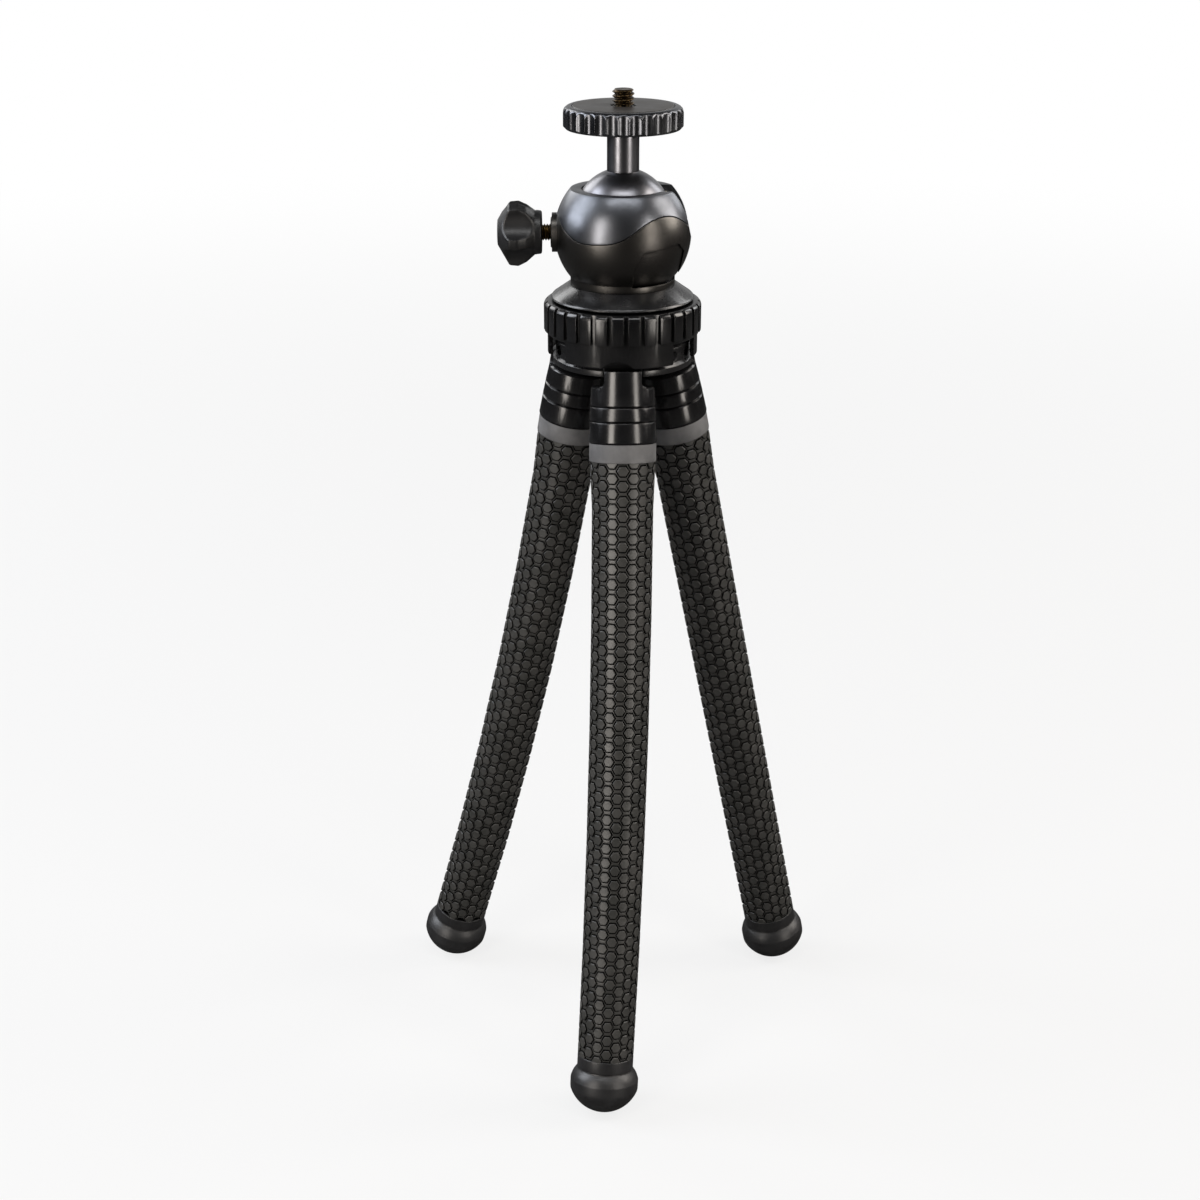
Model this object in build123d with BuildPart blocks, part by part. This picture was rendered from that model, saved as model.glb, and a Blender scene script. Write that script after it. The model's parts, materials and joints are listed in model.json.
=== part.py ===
from build123d import *

import os
from math import acos, asin, atan2, cos, degrees, radians, sin, sqrt

# Flexible leg tripod, in millimetres. The origin is on the floor, below the middle of the hub.
# +Z is up, the first leg points to -Y, the clamp knob to -X and the tilt slot to +X.

# Stance of the legs
leg_count = 3
first_leg_azimuth = -90.0
leg_splays = (12.6, 12.6, 13.6)
outward_bows = (0.0, 0.0, 6.4)
sideways_bows = (-2.8, 0.0, 0.0)
pin_circle_radius = 13.0
pin_height = 223.6
pin_radius = 1.5
pin_half_length = 9.4
pin_clearance = 0.05

# Leg caps, measured down the leg from its pin
cap_drops = (8.5, 14.2, 18.5, 24.9)
cap_radii = (9.2, 9.55, 9.75, 9.95)
cap_edge_round = 0.5
groove_width = 0.7
groove_depth = 0.5
tongue_half_width = 5.35
tongue_ledge_drop = 4.05
tongue_back = 5.4
tongue_fillet = 1.3
tongue_clearance = 0.25
core_grip = 12.0

# Core links, joined by balls in sockets
link_radius = 6.6
link_ball_radius = 5.4
link_ball_clearance = 0.1
link_neck_radius = 2.7
link_shoulder_drop = 6.3
link_bend_limit = 40.0
link_spare_angle = 2.0
link_edge_round = 0.6
first_joint_drop = 44.0
joint_pitch_share = 0.1575
bend_count = 5

# Sleeves, over the studs
sleeve_bore_radius = 6.9
sleeve_top_radius = 9.75
sleeve_band_length = 5.4
sleeve_upper_radius = 9.0
sleeve_lower_radius = 8.5

# Feet
foot_ball_radius = 10.9
foot_side_radius = 10.3
foot_neck_radius = 8.4
foot_neck_rise = 3.3
foot_neck_length = 0.7
foot_cone_rise = 0.4
core_depth_in_foot = 2.0
core_clearance = 0.05

# Hub
skirt_below_pin = 1.6
hub_below_pin = 4.3
hub_lip_height = 2.4
hub_lip_step = 0.8
hub_shoulder_above_pin = 3.1
hub_shoulder_round = 0.8
hub_neck_step = 1.2
slot_roof_clearance = 0.4
hub_roof = 4.4
slot_inner_radius = 6.2
hub_boss_radius = 15.9
stop_span = 30.0
stop_clearance = 0.2
stop_play = 0.6
hub_cover_radius = 4.4
hub_cover_depth = 2.0
hub_cover_flange_radius = 5.8
hub_cover_flange = 0.7

# Lock ring
skirt_radius = 22.0
skirt_wall = 1.3
ring_radius = 23.05
ring_band_height = 8.6
ring_flange = 2.4
ring_play = 0.15
ring_clearance = 0.3
ring_rest_turn = -4.0
ring_top_radius = 21.4
ring_bore_radius = 16.2
rib_count = 30
rib_gap = 1.45
notch_height = 6.0
arch_radius = 6.1
arch_height = 2.2
skirt_edge_round = 0.3

# Pan bolt and base plate
bolt_radius = 2.45
bolt_clearance = 0.1
bolt_head_radius = 4.1
bolt_head_height = 3.0
bolt_key_radius = 1.7
bolt_key_depth = 1.8
bolt_floor_depth = 3.0
bolt_seat_above_pin = 5.4
spring_washer_height = 0.8
spring_washer_dish = 0.3
spring_washer_wall = 0.4
pan_washer_height = 0.75
pan_washer_radius = 14.5
base_radius = 20.8
base_rim_height = 1.2
base_rim_chamfer = 0.4
base_height = 4.5
base_top_radius = 15.7

# Ball housing, its shares counted in its radius
housing_radius = 19.8
housing_waist_share = 0.7677
housing_centre_share = 0.745
ball_rise_share = 0.2172
ball_share = 0.7172
ball_clearance = 0.1
seat_wall = 1.6
seat_clearance = 0.2
seat_from_angle = 112.0
seat_to_angle = 135.0
seat_floor_gap = 0.9
liner_wall = 1.0
liner_clearance = 0.05
liner_from_angle = 64.0
liner_to_angle = 85.0
liner_step_angle = 87.0
liner_end_angle = 1.0
opening_share = 0.6061
slot_half_width = 5.5
seam_width = 0.26
seam_depth = 0.4
panel_depth = 0.35
# The seam as the front shows it, in shares of the housing's radius from its centre
seam_shares = (
    (-1.12, 0.46), (-0.985, 0.3), (-0.84, 0.13), (-0.69, 0.021), (-0.39, 0.0), (-0.09, 0.045),
    (0.13, 0.164), (0.355, 0.31), (0.52, 0.36), (0.683, 0.354), (0.847, 0.258), (0.995, 0.086), (1.12, -0.04),
)
# The recessed panel's corners, in the same shares
panel_shares = (
    (0.29, -0.12), (0.8, -0.045), (0.88, -0.18), (0.8, -0.66), (0.13, -0.66), (0.16, -0.33),
)

# Stem, camera wheel and camera screw
stem_radius = 4.62
stem_reach = 25.3
wheel_radius = 17.2
wheel_height = 6.4
wheel_play = 0.1
wheel_bore_clearance = 0.05
wheel_edge_radius = 2.0
wheel_foot_chamfer = 0.8
flute_count = 32
flute_radius = 2.3
flute_depth = 0.7
pad_radius = 14.6
pad_thickness = 1.3
pad_gap = 0.1
pad_proud = 0.1
camera_thread_radius = 3.15
camera_thread_length = 4.5
camera_tip_chamfer = 0.4
screw_shank_radius = 2.4
screw_shank_depth = 8.0
collar_radius = 3.5
collar_step = 0.1
flange_radius = 5.2
flange_height = 0.8
flange_drop = 0.2

# Clamp knob, screw, shoe and bushing
boss_radius = 5.65
boss_proud = 0.7
bushing_radius = 4.4
bushing_proud = 0.35
bushing_length = 1.75
clamp_screw_radius = 2.4
clamp_screw_clearance = 0.06
shoe_radius = 3.6
shoe_clearance = 0.1
shoe_length = 1.6
shoe_travel = 1.0
shoe_socket_depth = 0.6
knob_length = 12.8
knob_gap = 2.55
knob_radius = 9.7
knob_neck_radius = 6.15
knob_neck_length = 2.0
knob_face_radius = 3.6
knob_face_depth = 3.4
knob_lobe_length = 2.6
knob_lobe_count = 5
knob_valley_radius = 5.2
knob_valley_depth = 3.2
knob_bore_depth = 9.0
knob_valley_turn = 24.0

# Cuts run this far past what they cut
overrun = 5.0

# Heights and radii that follow from the sizes above
hub_bottom = pin_height - hub_below_pin
skirt_bottom = pin_height - skirt_below_pin
skirt_bore_radius = skirt_radius - skirt_wall
hub_lip_radius = skirt_bore_radius - ring_clearance
hub_body_radius = hub_lip_radius - hub_lip_step
hub_neck_radius = hub_body_radius - hub_neck_step
hub_lip_top = hub_bottom + hub_lip_height
hub_shoulder = pin_height + hub_shoulder_above_pin
knuckle_radius = sqrt(hub_lip_radius**2 - tongue_half_width**2) - pin_circle_radius
slot_roof = pin_height + knuckle_radius + slot_roof_clearance
hub_shelf = slot_roof + hub_roof
stop_bottom = slot_roof + stop_clearance
ring_flange_bottom = hub_shelf + ring_play
ring_top = ring_flange_bottom + ring_flange
ring_band_bottom = ring_top - ring_band_height
base_bottom = ring_top + ring_clearance
hub_boss_top = base_bottom - pan_washer_height
base_top = base_bottom + base_height
housing_waist_radius = housing_waist_share * housing_radius
ball_radius = ball_share * housing_radius
opening_radius = opening_share * housing_radius
boss_reach = housing_radius + boss_proud
housing_centre = base_top + housing_centre_share * housing_radius
ball_centre = housing_centre + ball_rise_share * housing_radius
housing_cap_rise = sqrt(housing_radius**2 - housing_waist_radius**2)
housing_rim = housing_centre + housing_cap_rise
bolt_seat = pin_height + bolt_seat_above_pin
bolt_top = base_top + bolt_floor_depth
wheel_bottom = ball_centre + stem_reach
wheel_top = wheel_bottom + wheel_play + wheel_height
seat_height = wheel_top + pad_proud
pad_bottom = seat_height - pad_thickness
flange_top = pad_bottom - flange_drop
collar_top = seat_height - collar_step
leg_drop = pin_height - foot_ball_radius
joint_pitch = joint_pitch_share * leg_drop
ball_bore_radius = ball_radius + ball_clearance
seat_outer_radius = ball_bore_radius + seat_wall
seat_bore_radius = seat_outer_radius + seat_clearance
liner_outer_radius = ball_bore_radius + liner_wall
liner_bore_radius = liner_outer_radius + liner_clearance
lip_bore_radius = ball_bore_radius + liner_clearance
cavity_floor = ball_centre - seat_bore_radius + seat_floor_gap
link_socket_radius = link_ball_radius + link_ball_clearance
link_opening_angle = link_bend_limit + degrees(asin(link_neck_radius / link_ball_radius)) + link_spare_angle
link_rim_drop = link_socket_radius * cos(radians(link_opening_angle))

ball_plane = Plane.XY.offset(ball_centre)
clamp_plane = Plane(origin=(0, 0, housing_centre), x_dir=(0, 1, 0), z_dir=(-1, 0, 0))


def keep(part, name):
    """Label a finished piece and write it as its own STEP file."""
    part.label = name
    export_step(part, f"parts/{name}.step")


def place_on(shape, plane):
    """Put a piece that was made round the origin on a plane."""
    with BuildPart() as placed:
        with Locations(plane.location):
            add(shape)
    return placed.part


def side_plane(azimuth):
    """The upright plane through the axis that faces an azimuth, with its own y upwards."""
    turn = radians(azimuth)
    return Plane(origin=(0, 0, 0), x_dir=(-sin(turn), cos(turn), 0), z_dir=(cos(turn), sin(turn), 0))


def leg_azimuth(leg):
    """The direction of a leg seen from above, in degrees."""
    return first_leg_azimuth + 360 * leg / leg_count


def pin_plane(leg, lean):
    """The plane at a leg's pin: x outwards, y along the pin and z up the leg."""
    turn, tilt = radians(leg_azimuth(leg)), radians(lean)
    out_x, out_y = cos(turn), sin(turn)
    return Plane(
        origin=(pin_circle_radius * out_x, pin_circle_radius * out_y, pin_height),
        x_dir=(out_x * cos(tilt), out_y * cos(tilt), sin(tilt)),
        z_dir=(-out_x * sin(tilt), -out_y * sin(tilt), cos(tilt)),
    )


def joint_planes(leg, lean):
    """The planes of a leg's core joints, each turned by its share of the leg's bow."""
    bend = Rotation(sideways_bows[leg] / bend_count, -outward_bows[leg] / bend_count, 0)
    plane = pin_plane(leg, lean)
    planes = []
    for joint in range(bend_count):
        drop = first_joint_drop if joint == 0 else joint_pitch
        plane = Plane(plane.offset(-drop).location * bend)
        planes.append(plane)
    return planes


def leg_stance(leg):
    """The lean at the pin and the last link's length that stand the foot on the floor."""
    upright = pin_plane(leg, 0)
    last = joint_planes(leg, 0)[-1]
    reach = upright.to_local_coords(last.origin)
    along = upright.to_local_coords(last.origin - last.z_dir) - reach
    chord = leg_drop / cos(radians(leg_splays[leg]))
    a = along.X**2 + along.Z**2
    b = reach.X * along.X + reach.Z * along.Z
    c = reach.X**2 + reach.Z**2 - chord**2
    length = (sqrt(b**2 - a * c) - b) / a
    foot = reach + along * length
    bow = degrees(atan2(foot.X, -foot.Z))
    return leg_splays[leg] - bow, length


leg_leans, end_lengths = zip(*(leg_stance(leg) for leg in range(leg_count)))
pin_planes = [pin_plane(leg, leg_leans[leg]) for leg in range(leg_count)]
bend_planes = [joint_planes(leg, leg_leans[leg]) for leg in range(leg_count)]
foot_planes = [bend_planes[leg][-1].offset(-end_lengths[leg]) for leg in range(leg_count)]


def make_camera_screw():
    """The stud: a shank in the stem, a collar that the wheel turns on, and the camera thread."""
    with BuildPart() as screw:
        with BuildSketch(Plane.XY.offset(wheel_bottom - screw_shank_depth)):
            Circle(screw_shank_radius)
        extrude(amount=screw_shank_depth)
        with BuildSketch(Plane.XY.offset(wheel_bottom)):
            Circle(collar_radius)
        extrude(amount=collar_top - wheel_bottom)
        with BuildSketch(Plane.XY.offset(flange_top)):
            Circle(flange_radius)
        extrude(amount=-flange_height)
        with BuildSketch(Plane.XY.offset(collar_top)):
            Circle(camera_thread_radius)
        extrude(amount=camera_thread_length + collar_step)
        chamfer(screw.edges().group_by(Axis.Z)[-1], camera_tip_chamfer)
    return screw.part


def make_platform_wheel():
    """The wheel: hollow flutes round a rim with a rounded upper edge."""
    rim_bottom = wheel_bottom + wheel_play
    flute_circle = wheel_radius - flute_depth + flute_radius
    with BuildPart() as wheel:
        with BuildSketch(Plane.XZ):
            with BuildLine():
                Polyline(
                    (wheel_radius, wheel_top - wheel_edge_radius),
                    (wheel_radius, rim_bottom + wheel_foot_chamfer),
                    (wheel_radius - wheel_foot_chamfer, rim_bottom),
                    (0, rim_bottom),
                    (0, wheel_top),
                    (wheel_radius - wheel_edge_radius, wheel_top),
                )
                CenterArc((wheel_radius - wheel_edge_radius, wheel_top - wheel_edge_radius),
                          wheel_edge_radius, 0, 90)
            make_face()
        revolve(axis=Axis.Z)
        with BuildSketch(Plane.XY.offset(rim_bottom - overrun)):
            with PolarLocations(flute_circle, flute_count):
                Circle(flute_radius)
        extrude(amount=wheel_height + 2 * overrun, mode=Mode.SUBTRACT)
        with BuildSketch(Plane.XY.offset(rim_bottom - overrun)):
            Circle(collar_radius + wheel_bore_clearance)
        extrude(amount=wheel_height + 2 * overrun, mode=Mode.SUBTRACT)
        with BuildSketch(Plane.XY.offset(pad_bottom)):
            Circle(pad_radius + pad_gap)
        extrude(amount=pad_thickness + overrun, mode=Mode.SUBTRACT)
        with BuildSketch(Plane.XY.offset(flange_top - flange_height - wheel_play)):
            Circle(flange_radius + pad_gap)
        extrude(amount=pad_thickness + overrun, mode=Mode.SUBTRACT)
    return wheel.part


def make_platform_pad():
    """The pad that the camera rests on."""
    with BuildPart() as pad:
        with BuildSketch(Plane.XY.offset(pad_bottom)):
            Circle(pad_radius)
            Circle(collar_radius + pad_gap, mode=Mode.SUBTRACT)
        extrude(amount=pad_thickness)
    return pad.part


def make_ball_stem():
    """The ball and its stem, with a blind hole for the camera screw's shank."""
    with BuildPart() as ball:
        with Locations((0, 0, ball_centre)):
            Sphere(ball_radius)
        with BuildSketch(ball_plane):
            Circle(stem_radius)
        extrude(amount=stem_reach)
        with BuildSketch(Plane.XY.offset(wheel_bottom)):
            Circle(screw_shank_radius)
        extrude(amount=-screw_shank_depth, mode=Mode.SUBTRACT)
    return ball.part


def make_ball_ring(inner, outer, from_angle, to_angle):
    """A ring cut from a spherical shell round the ball, between two angles from its top."""
    with BuildPart() as ring:
        with BuildSketch(Plane.XZ):
            with BuildLine():
                first = CenterArc((0, ball_centre), outer, 90 - to_angle, to_angle - from_angle)
                second = CenterArc((0, ball_centre), inner, 90 - to_angle, to_angle - from_angle)
                Line(first @ 0, second @ 0)
                Line(first @ 1, second @ 1)
            make_face()
        revolve(axis=Axis.Z)
    return ring.part


def make_tilt_slot():
    """What the slot on the +X side takes away, open at the top and round at the bottom."""
    with BuildPart() as slot:
        with BuildSketch(Plane.YZ):
            with Locations((0, ball_centre)):
                Circle(slot_half_width)
                Rectangle(2 * slot_half_width, housing_radius + overrun, align=(Align.CENTER, Align.MIN))
        extrude(amount=housing_radius + overrun)
    return slot.part


def make_ball_liner():
    """The liner: a nylon ring above the ball's equator, open at the tilt slot."""
    ring = make_ball_ring(ball_bore_radius, liner_outer_radius, liner_from_angle, liner_to_angle)
    slot = make_tilt_slot()
    with BuildPart() as liner:
        add(ring)
        add(slot, mode=Mode.SUBTRACT)
    return liner.part


def seam_points(shift):
    """The seam's points on the front view, raised by a shift."""
    return [(x * housing_radius, housing_centre + z * housing_radius + shift) for x, z in seam_shares]


def make_housing_block():
    """Both shells in one: a sphere cut flat above and below, with its boss, cavity and bores."""
    floor_edge = sqrt(seat_bore_radius**2 - (ball_centre - cavity_floor)**2)
    step_angle = 90 - liner_step_angle
    lip_angle = 90 - liner_from_angle + liner_end_angle
    rim_angle = degrees(acos(opening_radius / lip_bore_radius))
    floor_angle = degrees(asin((ball_centre - cavity_floor) / seat_bore_radius))
    slot = make_tilt_slot()
    with BuildPart() as block:
        with BuildSketch(Plane.XZ):
            with BuildLine():
                Polyline(
                    (housing_waist_radius, housing_centre - housing_cap_rise),
                    (housing_waist_radius, base_top),
                    (0, base_top),
                    (0, housing_rim),
                    (housing_waist_radius, housing_rim),
                )
                RadiusArc(
                    (housing_waist_radius, housing_rim),
                    (housing_waist_radius, housing_centre - housing_cap_rise),
                    housing_radius,
                )
            make_face()
        revolve(axis=Axis.Z)
        with BuildSketch(clamp_plane.offset(housing_waist_radius)):
            Circle(boss_radius)
        extrude(amount=boss_reach - housing_waist_radius)
        with BuildSketch(Plane.XZ):
            with BuildLine():
                seat_arc = CenterArc((0, ball_centre), seat_bore_radius, -floor_angle, floor_angle + step_angle)
                liner_arc = CenterArc((0, ball_centre), liner_bore_radius, step_angle, lip_angle - step_angle)
                Line(seat_arc @ 1, liner_arc @ 0)
                lip_arc = CenterArc((0, ball_centre), lip_bore_radius, lip_angle, rim_angle - lip_angle)
                Line(liner_arc @ 1, lip_arc @ 0)
                Polyline(
                    lip_arc @ 1,
                    (opening_radius, housing_rim + overrun),
                    (0, housing_rim + overrun),
                    (0, cavity_floor),
                    (floor_edge, cavity_floor),
                )
            make_face()
        revolve(axis=Axis.Z, mode=Mode.SUBTRACT)
        add(slot, mode=Mode.SUBTRACT)
        with BuildSketch(clamp_plane.offset(ball_radius)):
            Circle(shoe_radius + shoe_clearance)
        extrude(amount=boss_reach - bushing_length - ball_radius, mode=Mode.SUBTRACT)
        with BuildSketch(clamp_plane.offset(boss_reach - bushing_length)):
            Circle(bushing_radius)
        extrude(amount=bushing_length + overrun, mode=Mode.SUBTRACT)
        with BuildSketch(Plane.XY.offset(base_top)):
            Circle(bolt_radius)
        extrude(amount=bolt_floor_depth, mode=Mode.SUBTRACT)
    return block.part


def make_below_seam(shift):
    """Everything below the seam, raised by a shift, right through from front to back."""
    span = seam_shares[-1][0] * housing_radius
    with BuildPart() as below:
        with BuildSketch(Plane.XZ):
            with BuildLine():
                wave = Spline(*seam_points(shift))
                Polyline(wave @ 1, (span, base_top - overrun), (-span, base_top - overrun), wave @ 0)
            make_face()
        extrude(amount=housing_radius + overrun, both=True)
    return below.part


def make_shallow(cutter, depth):
    """What a cutter takes from the sphere's outer skin, to a depth."""
    with BuildPart() as shallow:
        add(cutter)
        with Locations((0, 0, housing_centre)):
            Sphere(housing_radius - depth, mode=Mode.SUBTRACT)
    return shallow.part


def make_seam_groove():
    """The fine dark groove along the seam."""
    above, below = make_below_seam(seam_width / 2), make_below_seam(-seam_width / 2)
    with BuildPart() as band:
        add(above)
        add(below, mode=Mode.SUBTRACT)
    return make_shallow(band.part, seam_depth)


def make_panel_cutter():
    """The shallow panel in the lower shell's front, right of the middle."""
    corners = [(x * housing_radius, housing_centre + z * housing_radius) for x, z in panel_shares]
    with BuildPart() as panel:
        with BuildSketch(Plane.XZ):
            with BuildLine():
                Polyline(*corners, close=True)
            make_face()
        extrude(amount=housing_radius + overrun)
    return make_shallow(panel.part, panel_depth)


def make_housing_shells():
    """The upper and the lower shell, parted along the seam."""
    block = make_housing_block()
    below = make_below_seam(0)
    groove = make_seam_groove()
    panel = make_panel_cutter()
    with BuildPart() as lower:
        add(block)
        add(below, mode=Mode.INTERSECT)
        add(groove, mode=Mode.SUBTRACT)
        add(panel, mode=Mode.SUBTRACT)
    with BuildPart() as upper:
        add(block)
        add(below, mode=Mode.SUBTRACT)
        add(groove, mode=Mode.SUBTRACT)
    return upper.part, lower.part


def make_clamp_bushing():
    """The threaded ring in the boss."""
    with BuildPart() as bushing:
        with BuildSketch(clamp_plane.offset(boss_reach - bushing_length)):
            Circle(bushing_radius)
            Circle(clamp_screw_radius + clamp_screw_clearance, mode=Mode.SUBTRACT)
        extrude(amount=bushing_length + bushing_proud)
        chamfer(bushing.edges().group_by(Axis.X)[0].sort_by(SortBy.LENGTH)[-1], bushing_proud / 2)
    return bushing.part


shoe_face = seat_outer_radius + seat_clearance / 2
shoe_back = shoe_face + shoe_length
knob_start = boss_reach + bushing_proud + knob_gap
knob_end = knob_start + knob_length


def make_clamp_shoe():
    """The plug that presses the ball's seat, hollow to the seat's roundness."""
    with BuildPart() as shoe:
        with BuildSketch(clamp_plane.offset(ball_radius)):
            Circle(shoe_radius)
        extrude(amount=shoe_back - ball_radius)
        with Locations((0, 0, ball_centre)):
            Sphere(shoe_face, mode=Mode.SUBTRACT)
        with BuildSketch(clamp_plane.offset(shoe_back)):
            Circle(clamp_screw_radius + clamp_screw_clearance)
        extrude(amount=-shoe_socket_depth, mode=Mode.SUBTRACT)
    return shoe.part


def make_clamp_screw():
    """The screw from the shoe's socket into the knob."""
    tip = shoe_back - shoe_socket_depth
    with BuildPart() as screw:
        with BuildSketch(clamp_plane.offset(tip)):
            Circle(clamp_screw_radius)
        extrude(amount=knob_start + knob_bore_depth - tip)
    return screw.part


def make_clamp_knob():
    """The knob: a barrel with a blunt cone outside, cut by round valleys between its lobes."""
    with BuildPart() as knob:
        with BuildSketch(Plane.XZ):
            with BuildLine():
                neck_end = knob_start + knob_neck_length
                lobe_start = knob_end - knob_face_depth - knob_lobe_length
                lobe_end = knob_end - knob_face_depth
                Polyline(
                    (-knob_start, housing_centre),
                    (-knob_start, housing_centre + knob_neck_radius - cap_edge_round),
                    (-knob_start - cap_edge_round, housing_centre + knob_neck_radius),
                    (-neck_end, housing_centre + knob_neck_radius + cap_edge_round / 2),
                )
                ThreePointArc(
                    (-neck_end, housing_centre + knob_neck_radius + cap_edge_round / 2),
                    (-(neck_end + lobe_start) / 2, housing_centre + (knob_neck_radius + 2 * knob_radius) / 3),
                    (-lobe_start, housing_centre + knob_radius),
                )
                Polyline(
                    (-lobe_start, housing_centre + knob_radius),
                    (-lobe_end, housing_centre + knob_radius - cap_edge_round / 2),
                    (-knob_end, housing_centre + knob_face_radius),
                    (-knob_end, housing_centre),
                    (-knob_start, housing_centre),
                )
            make_face()
        revolve(axis=Axis((0, 0, housing_centre), (1, 0, 0)))
        fillet(knob.edges().group_by(Axis.X)[1:3], cap_edge_round)
        valley_circle = knob_radius - knob_valley_depth + knob_valley_radius
        with BuildSketch(clamp_plane.offset(knob_start + knob_neck_length)):
            with PolarLocations(valley_circle, knob_lobe_count, start_angle=180 + knob_valley_turn):
                Circle(knob_valley_radius)
        extrude(amount=knob_length, mode=Mode.SUBTRACT)
        with BuildSketch(clamp_plane.offset(knob_start)):
            Circle(clamp_screw_radius)
        extrude(amount=knob_bore_depth, mode=Mode.SUBTRACT)
    return knob.part


def make_base_plate():
    """The conical plate under the housing, which turns with it."""
    with BuildPart() as plate:
        with BuildSketch(Plane.XZ):
            with BuildLine():
                Polyline(
                    (bolt_radius + bolt_clearance, base_bottom),
                    (base_radius - base_rim_chamfer, base_bottom),
                    (base_radius, base_bottom + base_rim_chamfer),
                    (base_radius, base_bottom + base_rim_height - base_rim_chamfer),
                    (base_radius - base_rim_chamfer, base_bottom + base_rim_height),
                    (base_top_radius, base_top),
                    (bolt_radius + bolt_clearance, base_top),
                    close=True,
                )
            make_face()
        revolve(axis=Axis.Z)
    return plate.part


def make_pan_bolt():
    """The bolt that holds the head on the hub, with a six-sided key hole."""
    head_bottom = bolt_seat - spring_washer_height - bolt_head_height
    with BuildPart() as bolt:
        with BuildSketch(Plane.XY.offset(head_bottom)):
            Circle(bolt_head_radius)
        extrude(amount=bolt_head_height)
        with BuildSketch(Plane.XY.offset(head_bottom)):
            Circle(bolt_radius)
        extrude(amount=bolt_top - head_bottom)
        with BuildSketch(Plane.XY.offset(head_bottom)):
            RegularPolygon(bolt_key_radius, 6)
        extrude(amount=bolt_key_depth, mode=Mode.SUBTRACT)
    return bolt.part


def make_spring_washer():
    """The dished washer between the bolt's head and the hub."""
    low = bolt_seat - spring_washer_height
    with BuildPart() as washer:
        with BuildSketch(Plane.XZ):
            with BuildLine():
                Polyline(
                    (bolt_radius + bolt_clearance, bolt_seat - spring_washer_wall),
                    (bolt_radius + bolt_clearance, bolt_seat),
                    (bolt_head_radius, low + spring_washer_wall + spring_washer_dish / 2),
                    (bolt_head_radius, low),
                    close=True,
                )
            make_face()
        revolve(axis=Axis.Z)
    return washer.part


def make_pan_washer():
    """The nylon washer that the head turns on."""
    with BuildPart() as washer:
        with BuildSketch(Plane.XY.offset(hub_boss_top)):
            Circle(pan_washer_radius)
            Circle(bolt_radius + bolt_clearance, mode=Mode.SUBTRACT)
        extrude(amount=pan_washer_height)
    return washer.part


def stop_sector(inner, outer, bottom, top, middle, span):
    """A block that fills part of a ring, round a middle direction in degrees."""
    with BuildPart() as sector:
        with BuildSketch(Plane.XY.offset(bottom)):
            with BuildLine():
                inside = CenterArc((0, 0), inner, middle - span / 2, span)
                outside = CenterArc((0, 0), outer, middle - span / 2, span)
                Line(inside @ 0, outside @ 0)
                Line(inside @ 1, outside @ 1)
            make_face()
        extrude(amount=top - bottom)
    return sector.part


def make_hub():
    """The hub: slots for the legs' knuckles, holes for their pins, and the ring's three stops."""
    slot_half = tongue_half_width + tongue_clearance
    stops = [
        stop_sector(hub_neck_radius - overrun / 2, hub_lip_radius, stop_bottom, hub_shelf,
                    leg_azimuth(leg) + 180 / leg_count, stop_span)
        for leg in range(leg_count)
    ]
    with BuildPart() as hub:
        with BuildSketch(Plane.XZ):
            with BuildLine():
                Polyline(
                    (0, hub_bottom),
                    (hub_lip_radius, hub_bottom),
                    (hub_lip_radius, hub_lip_top - hub_lip_step),
                    (hub_body_radius, hub_lip_top),
                    (hub_body_radius, hub_shoulder - hub_shoulder_round),
                    (hub_body_radius - hub_shoulder_round, hub_shoulder),
                    (hub_neck_radius, hub_shoulder),
                    (hub_neck_radius, hub_shelf),
                    (hub_boss_radius, hub_shelf),
                    (hub_boss_radius, hub_boss_top),
                    (0, hub_boss_top),
                    close=True,
                )
            make_face()
        revolve(axis=Axis.Z)
        add(stops)
        with BuildSketch(Plane.XY.offset(hub_bottom)):
            with PolarLocations(slot_inner_radius, leg_count, start_angle=first_leg_azimuth):
                Rectangle(hub_lip_radius, 2 * slot_half, align=(Align.MIN, Align.CENTER))
        extrude(amount=slot_roof - hub_bottom, mode=Mode.SUBTRACT)
        for leg in range(leg_count):
            upright = pin_plane(leg, 0)
            with BuildSketch(Plane(origin=upright.origin, x_dir=upright.x_dir, z_dir=upright.y_dir)):
                Circle(pin_radius)
            extrude(amount=skirt_radius, both=True, mode=Mode.SUBTRACT)
        with BuildSketch(Plane.XY.offset(hub_bottom)):
            Circle(hub_cover_radius)
        extrude(amount=bolt_seat - hub_bottom, mode=Mode.SUBTRACT)
        with BuildSketch(Plane.XY.offset(hub_bottom)):
            Circle(bolt_radius + bolt_clearance)
        extrude(amount=hub_boss_top - hub_bottom, mode=Mode.SUBTRACT)
    return hub.part


def make_hub_cover():
    """The plug that closes the bolt's hole from below."""
    with BuildPart() as cover:
        with BuildSketch(Plane.XY.offset(hub_bottom)):
            Circle(hub_cover_radius)
        extrude(amount=hub_cover_depth)
        with BuildSketch(Plane.XY.offset(hub_bottom)):
            Circle(hub_cover_flange_radius)
        extrude(amount=-hub_cover_flange)
        fillet(cover.edges().group_by(Axis.Z)[0], hub_cover_flange / 2)
    return cover.part


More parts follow.
